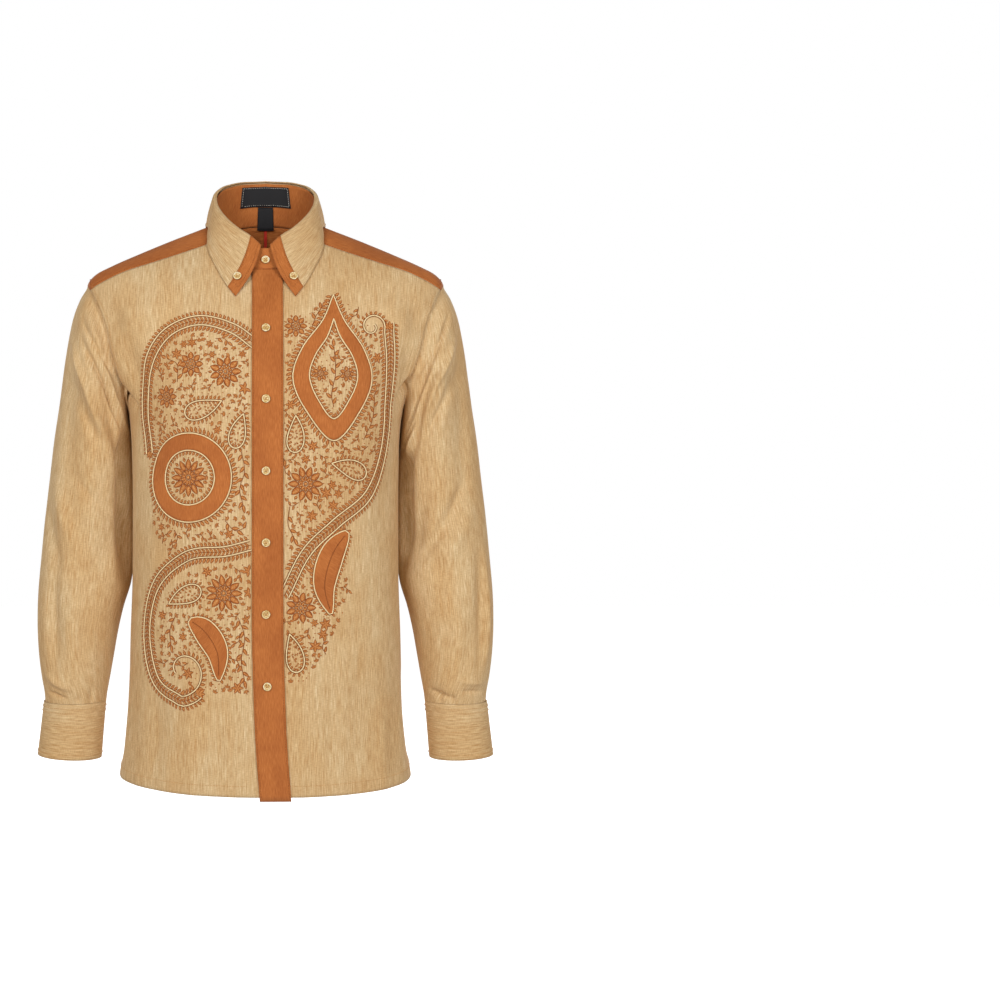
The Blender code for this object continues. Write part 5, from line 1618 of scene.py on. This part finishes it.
def leaf_shape():
    """A padded satin leaf 1 long and 1 wide, pointed at its tip, with a ridge along its middle."""
    t = np.linspace(0, 1, 7)
    half = 0.5 * np.sin(np.pi * t**0.8) ** 0.8
    x = t - 0.5
    left = [(a, h, 0) for a, h in zip(x, half)]
    right = [(a, -h, 0) for a, h in zip(x[1:-1], half[1:-1])]
    ridge = [(a * 0.8, 0, 0.9 * math.sin(math.pi * s) ** 0.5) for a, s in zip(x[1:-1], t[1:-1])]
    points = left + right + ridge
    n, m = len(left), len(right)
    first, last = n + m, n + 2 * m - 1
    faces = [(i + 2, first + i + 1, first + i, i + 1) for i in range(m - 1)]
    faces += [(first + i, first + i + 1, n + i + 1, n + i) for i in range(m - 1)]
    faces += [(1, first, 0), (first, n, 0), (last, n - 2, n - 1), (first - 1, last, n - 1)]
    faces.append((*range(n), *range(first - 1, n - 1, -1)))
    # V is 0 round the outline and 1 along the ridge, so the thread's ramp paints shade round the leaf's foot
    # and a highlight on its ridge
    uv = [(a, 0.0) for a in [*t, *t[1:-1]]] + [(a, 1.0) for a in t[1:-1]]
    return hidden_shape("leaf", points, faces, uv)


def knot_shape():
    """A small domed knot of radius 1."""
    turn = round_turns(8)
    points = [(math.cos(t), math.sin(t), 0) for t in turn]
    points += [(0.7 * math.cos(t), 0.7 * math.sin(t), 0.75) for t in turn] + [(0, 0, 1.05)]
    after = [(c, (c + 1) % 8) for c in range(8)]
    faces = [(c, d, 8 + d, 8 + c) for c, d in after] + [(8 + c, 8 + d, 16) for c, d in after]
    faces.append(tuple(range(8))[::-1])
    # V rises from the foot to the top, so the thread's ramp paints shade at the foot and a highlight on the
    # top
    uv = [(0.0, 0.2)] * 8 + [(0.5, 0.6)] * 8 + [(0.5, 1.0)]
    return hidden_shape("knot", points, faces, uv)


def ring_patch(name, outer, inner, work):
    """A ring of rust cloth sewn on between two outlines; its threads run straight, as it was cut."""
    flat = np.stack([outer + (inner - outer) * share for share in np.linspace(0, 1, 7)])
    uv = np.concatenate([flat, flat[:, :1]], 1)
    cloth(name, on_front(flat, PATCH_LIFT), RUST, [], PATCH_WALL, wrap=True, uv=uv)
    work.taken.append(flat.reshape(-1, 2))


def leaf_patch(name, spine, half_width, work):
    """A leaf of rust cloth sewn on along its spine, with a cream cord round it and a stitched vein."""
    t = np.linspace(0.015, 0.985, len(spine))
    reach = half_width * np.sin(np.pi * t**0.85) ** 0.75
    run = unit(np.gradient(spine, axis=0))
    aside = np.stack([-run[:, 1], run[:, 0]], -1)
    flat = np.stack([spine + aside * (reach * share)[:, None] for share in np.linspace(-1, 1, 9)])
    cloth(name, on_front(flat, PATCH_LIFT), RUST, [], PATCH_WALL)
    work.taken.append(flat.reshape(-1, 2))
    edge = [spine + aside * ((reach + 0.0006) * way)[:, None] for way in (1, -1)]
    outline = np.concatenate([edge[0], edge[1][::-1], edge[0][:1]])
    work.cord(outline)
    work.border(outline, "edge", 58)
    work.veins.append(spine[2:-2])


def make_embroidery():
    work = Embroidery()
    embroider_right(work)
    embroider_left(work)
    work.work()


def embroider_right(work):
    """The wearer's right front: a medallion under a garland, and a vine that curls at its foot."""
    middle = np.array([-0.098, -0.338])
    ring_patch("medallion_patch", circle(middle, 0.055)[:-1], circle(middle, 0.035)[:-1], work)
    work.cord(circle(middle, 0.0342), circle(middle, 0.0558))
    work.border(circle(middle, 0.0572), "bold", -64)
    work.border(circle(middle, 0.0330), "drop", 64)
    work.rosette(middle, 0.0250, 12)
    work.border(circle(middle, 0.0110), "bloom", -70)
    garland = curve([
        (-0.017, -0.176), (-0.045, -0.156), (-0.085, -0.146), (-0.124, -0.160), (-0.150, -0.198),
        (-0.160, -0.250), (-0.156, -0.306),
    ])
    work.band(garland, BAND_WIDTH)
    work.fan((-0.162, -0.305), -92)
    work.rosette((-0.050, -0.206), 0.0210, 9)
    work.rosette((-0.094, -0.196), 0.0165, 8)
    work.rosette((-0.128, -0.236), 0.0150, 8)
    work.drop((-0.078, -0.252), 0.050, 15)
    work.drop((-0.034, -0.280), 0.044, 78, -0.2)
    work.spray(curve([(-0.030, -0.306), (-0.026, -0.330), (-0.032, -0.352), (-0.028, -0.372)]))
    work.spray(curve([(-0.112, -0.218), (-0.112, -0.196), (-0.126, -0.188)]), SHORT_SPRAY)
    work.spray(curve([(-0.050, -0.392), (-0.038, -0.404), (-0.024, -0.400)]), SHORT_SPRAY)
    tail = np.concatenate([
        curve([
            (-0.017, -0.428), (-0.050, -0.436), (-0.098, -0.442), (-0.142, -0.478), (-0.157, -0.534),
            (-0.144, -0.590), (-0.106, -0.612),
        ]),
        coil((-0.106, -0.580), 0.032, 0.010, -90, 200, 40),
    ])
    work.band(tail[:-34], BAND_WIDTH)
    work.fan((-0.0848, -0.6081), 37)
    work.cord(tail[-36:])
    work.border(beside(tail[-36:], -0.0012), "curl", -62)
    work.rosette((-0.052, -0.482), 0.0240, 11)
    work.drop((-0.104, -0.486), 0.048, 200)
    spine = curve([(-0.096, -0.516), (-0.076, -0.530), (-0.060, -0.556), (-0.058, -0.590)])
    leaf_patch("right_leaf_patch", spine, 0.0150, work)
    work.spray(curve([(-0.034, -0.512), (-0.026, -0.536), (-0.030, -0.566), (-0.026, -0.590)]))
    work.spray(curve([(-0.116, -0.512), (-0.124, -0.530), (-0.122, -0.548)]), SHORT_SPRAY)
    work.scatter([
        (-0.018, -0.182), (-0.050, -0.164), (-0.088, -0.156), (-0.120, -0.168), (-0.142, -0.204),
        (-0.151, -0.260), (-0.164, -0.330), (-0.152, -0.400), (-0.120, -0.440), (-0.060, -0.430),
        (-0.018, -0.424),
    ])
    work.scatter([
        (-0.018, -0.442), (-0.095, -0.456), (-0.132, -0.486), (-0.145, -0.536), (-0.132, -0.584),
        (-0.085, -0.600), (-0.020, -0.612),
    ])


def embroider_left(work):
    """The wearer's left front: a pointed shield beside a long vine."""
    flank = [(0, 0), (0.014, -0.034), (0.040, -0.070), (0.052, -0.108), (0.036, -0.148), (0, -0.186)]
    both = [(-x, z) for x, z in flank] + flank[-2::-1]
    outline = curve([(0.086 + x, z - 0.106) for x, z in both])
    middle = np.array([0.086, -0.206])
    inner = middle + (outline - middle) * np.array([0.60, 0.68])
    edges = [(middle + (line - middle) * scale)[:-1] for line, scale in ((outline, 0.985), (inner, 1.02))]
    ring_patch("shield_patch", *edges, work)
    work.cord(outline, inner)
    work.border(beside(outline, -BESIDE_CORD), "bold", -64)
    work.border(beside(inner, BESIDE_CORD), "shield", 64)
    work.spray(curve([(0.086, -0.250), (0.083, -0.234), (0.088, -0.206), (0.086, -0.174)]))
    work.rosette((0.0690, -0.208), 0.0105, 7)
    work.rosette((0.1035, -0.208), 0.0105, 7)
    vine = np.concatenate([
        coil((0.137, -0.146), 0.004, 0.017, 400, 0, 40),
        curve([
            (0.154, -0.152), (0.162, -0.206), (0.160, -0.290), (0.134, -0.352), (0.086, -0.390),
            (0.046, -0.428), (0.018, -0.482),
        ]),
    ])
    work.band(vine[38:], -BAND_WIDTH)
    work.fan((0.160, -0.148), 88)
    work.cord(vine[:40])
    work.border(beside(vine[8:40], 0.0012), "rim", 62)
    work.rosette((0.050, -0.346), 0.0230, 10)
    work.drop((0.108, -0.326), 0.050, 160)
    work.rosette((0.038, -0.148), 0.0150, 8)
    work.drop((0.038, -0.284), 0.046, 84)
    work.spray(curve([(0.030, -0.374), (0.028, -0.396), (0.036, -0.414)]), SHORT_SPRAY)
    work.spray(curve([(0.058, -0.150), (0.064, -0.134), (0.072, -0.122)]), SHORT_SPRAY)
    work.spray(curve([(0.128, -0.290), (0.142, -0.262), (0.144, -0.230)]), SHORT_SPRAY)
    spine = curve([(0.104, -0.406), (0.084, -0.434), (0.074, -0.472), (0.082, -0.508)])
    leaf_patch("left_leaf_patch", spine, 0.0155, work)
    work.rosette((0.044, -0.500), 0.0200, 9)
    work.drop((0.036, -0.556), 0.048, 98)
    work.spray(curve([(0.060, -0.486), (0.062, -0.466), (0.058, -0.452)]), SHORT_SPRAY)
    work.scatter([
        (0.020, -0.150), (0.050, -0.136), (0.078, -0.110), (0.094, -0.110), (0.122, -0.130),
        (0.152, -0.170), (0.150, -0.290), (0.124, -0.346), (0.078, -0.384), (0.040, -0.420),
        (0.020, -0.460),
    ])
    work.scatter([
        (0.020, -0.492), (0.046, -0.446), (0.086, -0.412), (0.112, -0.400), (0.104, -0.450),
        (0.098, -0.516), (0.070, -0.560), (0.050, -0.592), (0.020, -0.592),
    ])


# Camera and light

CAMERA_DISTANCE, CAMERA_HEIGHT = 1.70, -0.366
# width of the view at the shirt's middle, and the shirt's place across the picture
PHOTO_WIDTH, SHIRT_PLACE = 1.34, 0.2655
FLOOR_HEIGHT, FLOOR_REACH, FLOOR_GLOW = -1.02, 6.0, 0.92
# strength of the room's light from below and from above, the span over which it changes, and its tint
LIGHT_BELOW, LIGHT_ABOVE, LIGHT_SPREAD, ROOM_TINT = 0.46, 0.22, 0.7, "#FFF3DE"
KEY_TINT = "#F4FAFF"
# place, size in metres and power in watts
SOFT_BOXES = {
    "soft box left": ((-1.3, -2.2, 0.35), 1.0, 38.5),
    "soft box right": ((1.3, -2.2, 0.15), 1.0, 36.0),
    "soft box behind left": ((1.0, 2.2, 0.35), 1.3, 37),
    "soft box behind right": ((-1.0, 2.2, 0.15), 1.3, 20),
}


def make_camera():
    camera = bpy.data.cameras.new("camera")
    camera.lens = camera.sensor_width * CAMERA_DISTANCE / PHOTO_WIDTH
    camera.shift_x = 0.5 - SHIRT_PLACE
    holder = put("camera", camera)
    holder.location = (0, -CAMERA_DISTANCE, CAMERA_HEIGHT)
    holder.rotation_euler = (math.radians(90), 0, 0)
    bpy.context.scene.camera = holder
    bpy.context.scene.view_settings.view_transform = "Standard"
    bpy.context.scene.view_settings.look = "None"


def make_room():
    """The camera sees the backdrop white, and the cloth gets the room's dimmer, warmer light."""
    world = bpy.data.worlds.new("white studio")
    bpy.context.scene.world = world
    world.use_nodes = True
    tree = world.node_tree
    seen = add(tree, "ShaderNodeLightPath").outputs["Is Camera Ray"]
    way = add(tree, "ShaderNodeTexCoord").outputs["Generated"]
    height = add(tree, "ShaderNodeSeparateXYZ", {"Vector": way}).outputs["Z"]
    span = {"From Min": -LIGHT_SPREAD, "From Max": LIGHT_SPREAD, "To Min": LIGHT_BELOW, "To Max": LIGHT_ABOVE}
    room = add(tree, "ShaderNodeMapRange", {"Value": height, **span}).outputs["Result"]
    level = add(tree, "ShaderNodeMapRange", {"Value": seen, "To Min": room, "To Max": 1.0})
    tints = {0: seen, 6: linear(ROOM_TINT), 7: (1, 1, 1, 1)}
    shade = add(tree, "ShaderNodeMix", tints, data_type="RGBA")
    background = tree.nodes["Background"].inputs
    tree.links.new(shade.outputs[2], background["Color"])
    tree.links.new(level.outputs["Result"], background["Strength"])


def make_lights():
    for name, (place, size, power) in SOFT_BOXES.items():
        light = bpy.data.lights.new(name, "AREA")
        light.energy, light.size, light.color = power, size, linear(KEY_TINT)[:3]
        made = put(name, light)
        made.location = place
        aim = Vector((0, 0, CAMERA_HEIGHT)) - Vector(place)
        made.rotation_euler = aim.to_track_quat("-Z", "Y").to_euler()


def make_floor():
    corners = ((-1, -1), (1, -1), (1, 1), (-1, 1))
    points = [(x * FLOOR_REACH, y * FLOOR_REACH, FLOOR_HEIGHT) for x, y in corners]
    mesh = new_mesh("floor", points, faces=[(0, 1, 2, 3)])
    look, _, shader = new_look("white_studio_floor", 0.9)
    shader.inputs["Base Color"].default_value = (0.5, 0.5, 0.5, 1)
    shader.inputs["Emission Color"].default_value = (1, 1, 1, 1)
    shader.inputs["Emission Strength"].default_value = FLOOR_GLOW
    mesh.materials.append(look)
    floor = put("floor", mesh)
    # the floor's own glow whitens only the picture; the cloth gets the room's warmer light from below
    floor.visible_diffuse = False


make_body()
strip_and_cuff = make_sleeves()
make_collar()
make_label()
make_buttons()
sew_seams(*strip_and_cuff)
make_embroidery()
make_camera()
make_room()
make_lights()
make_floor()
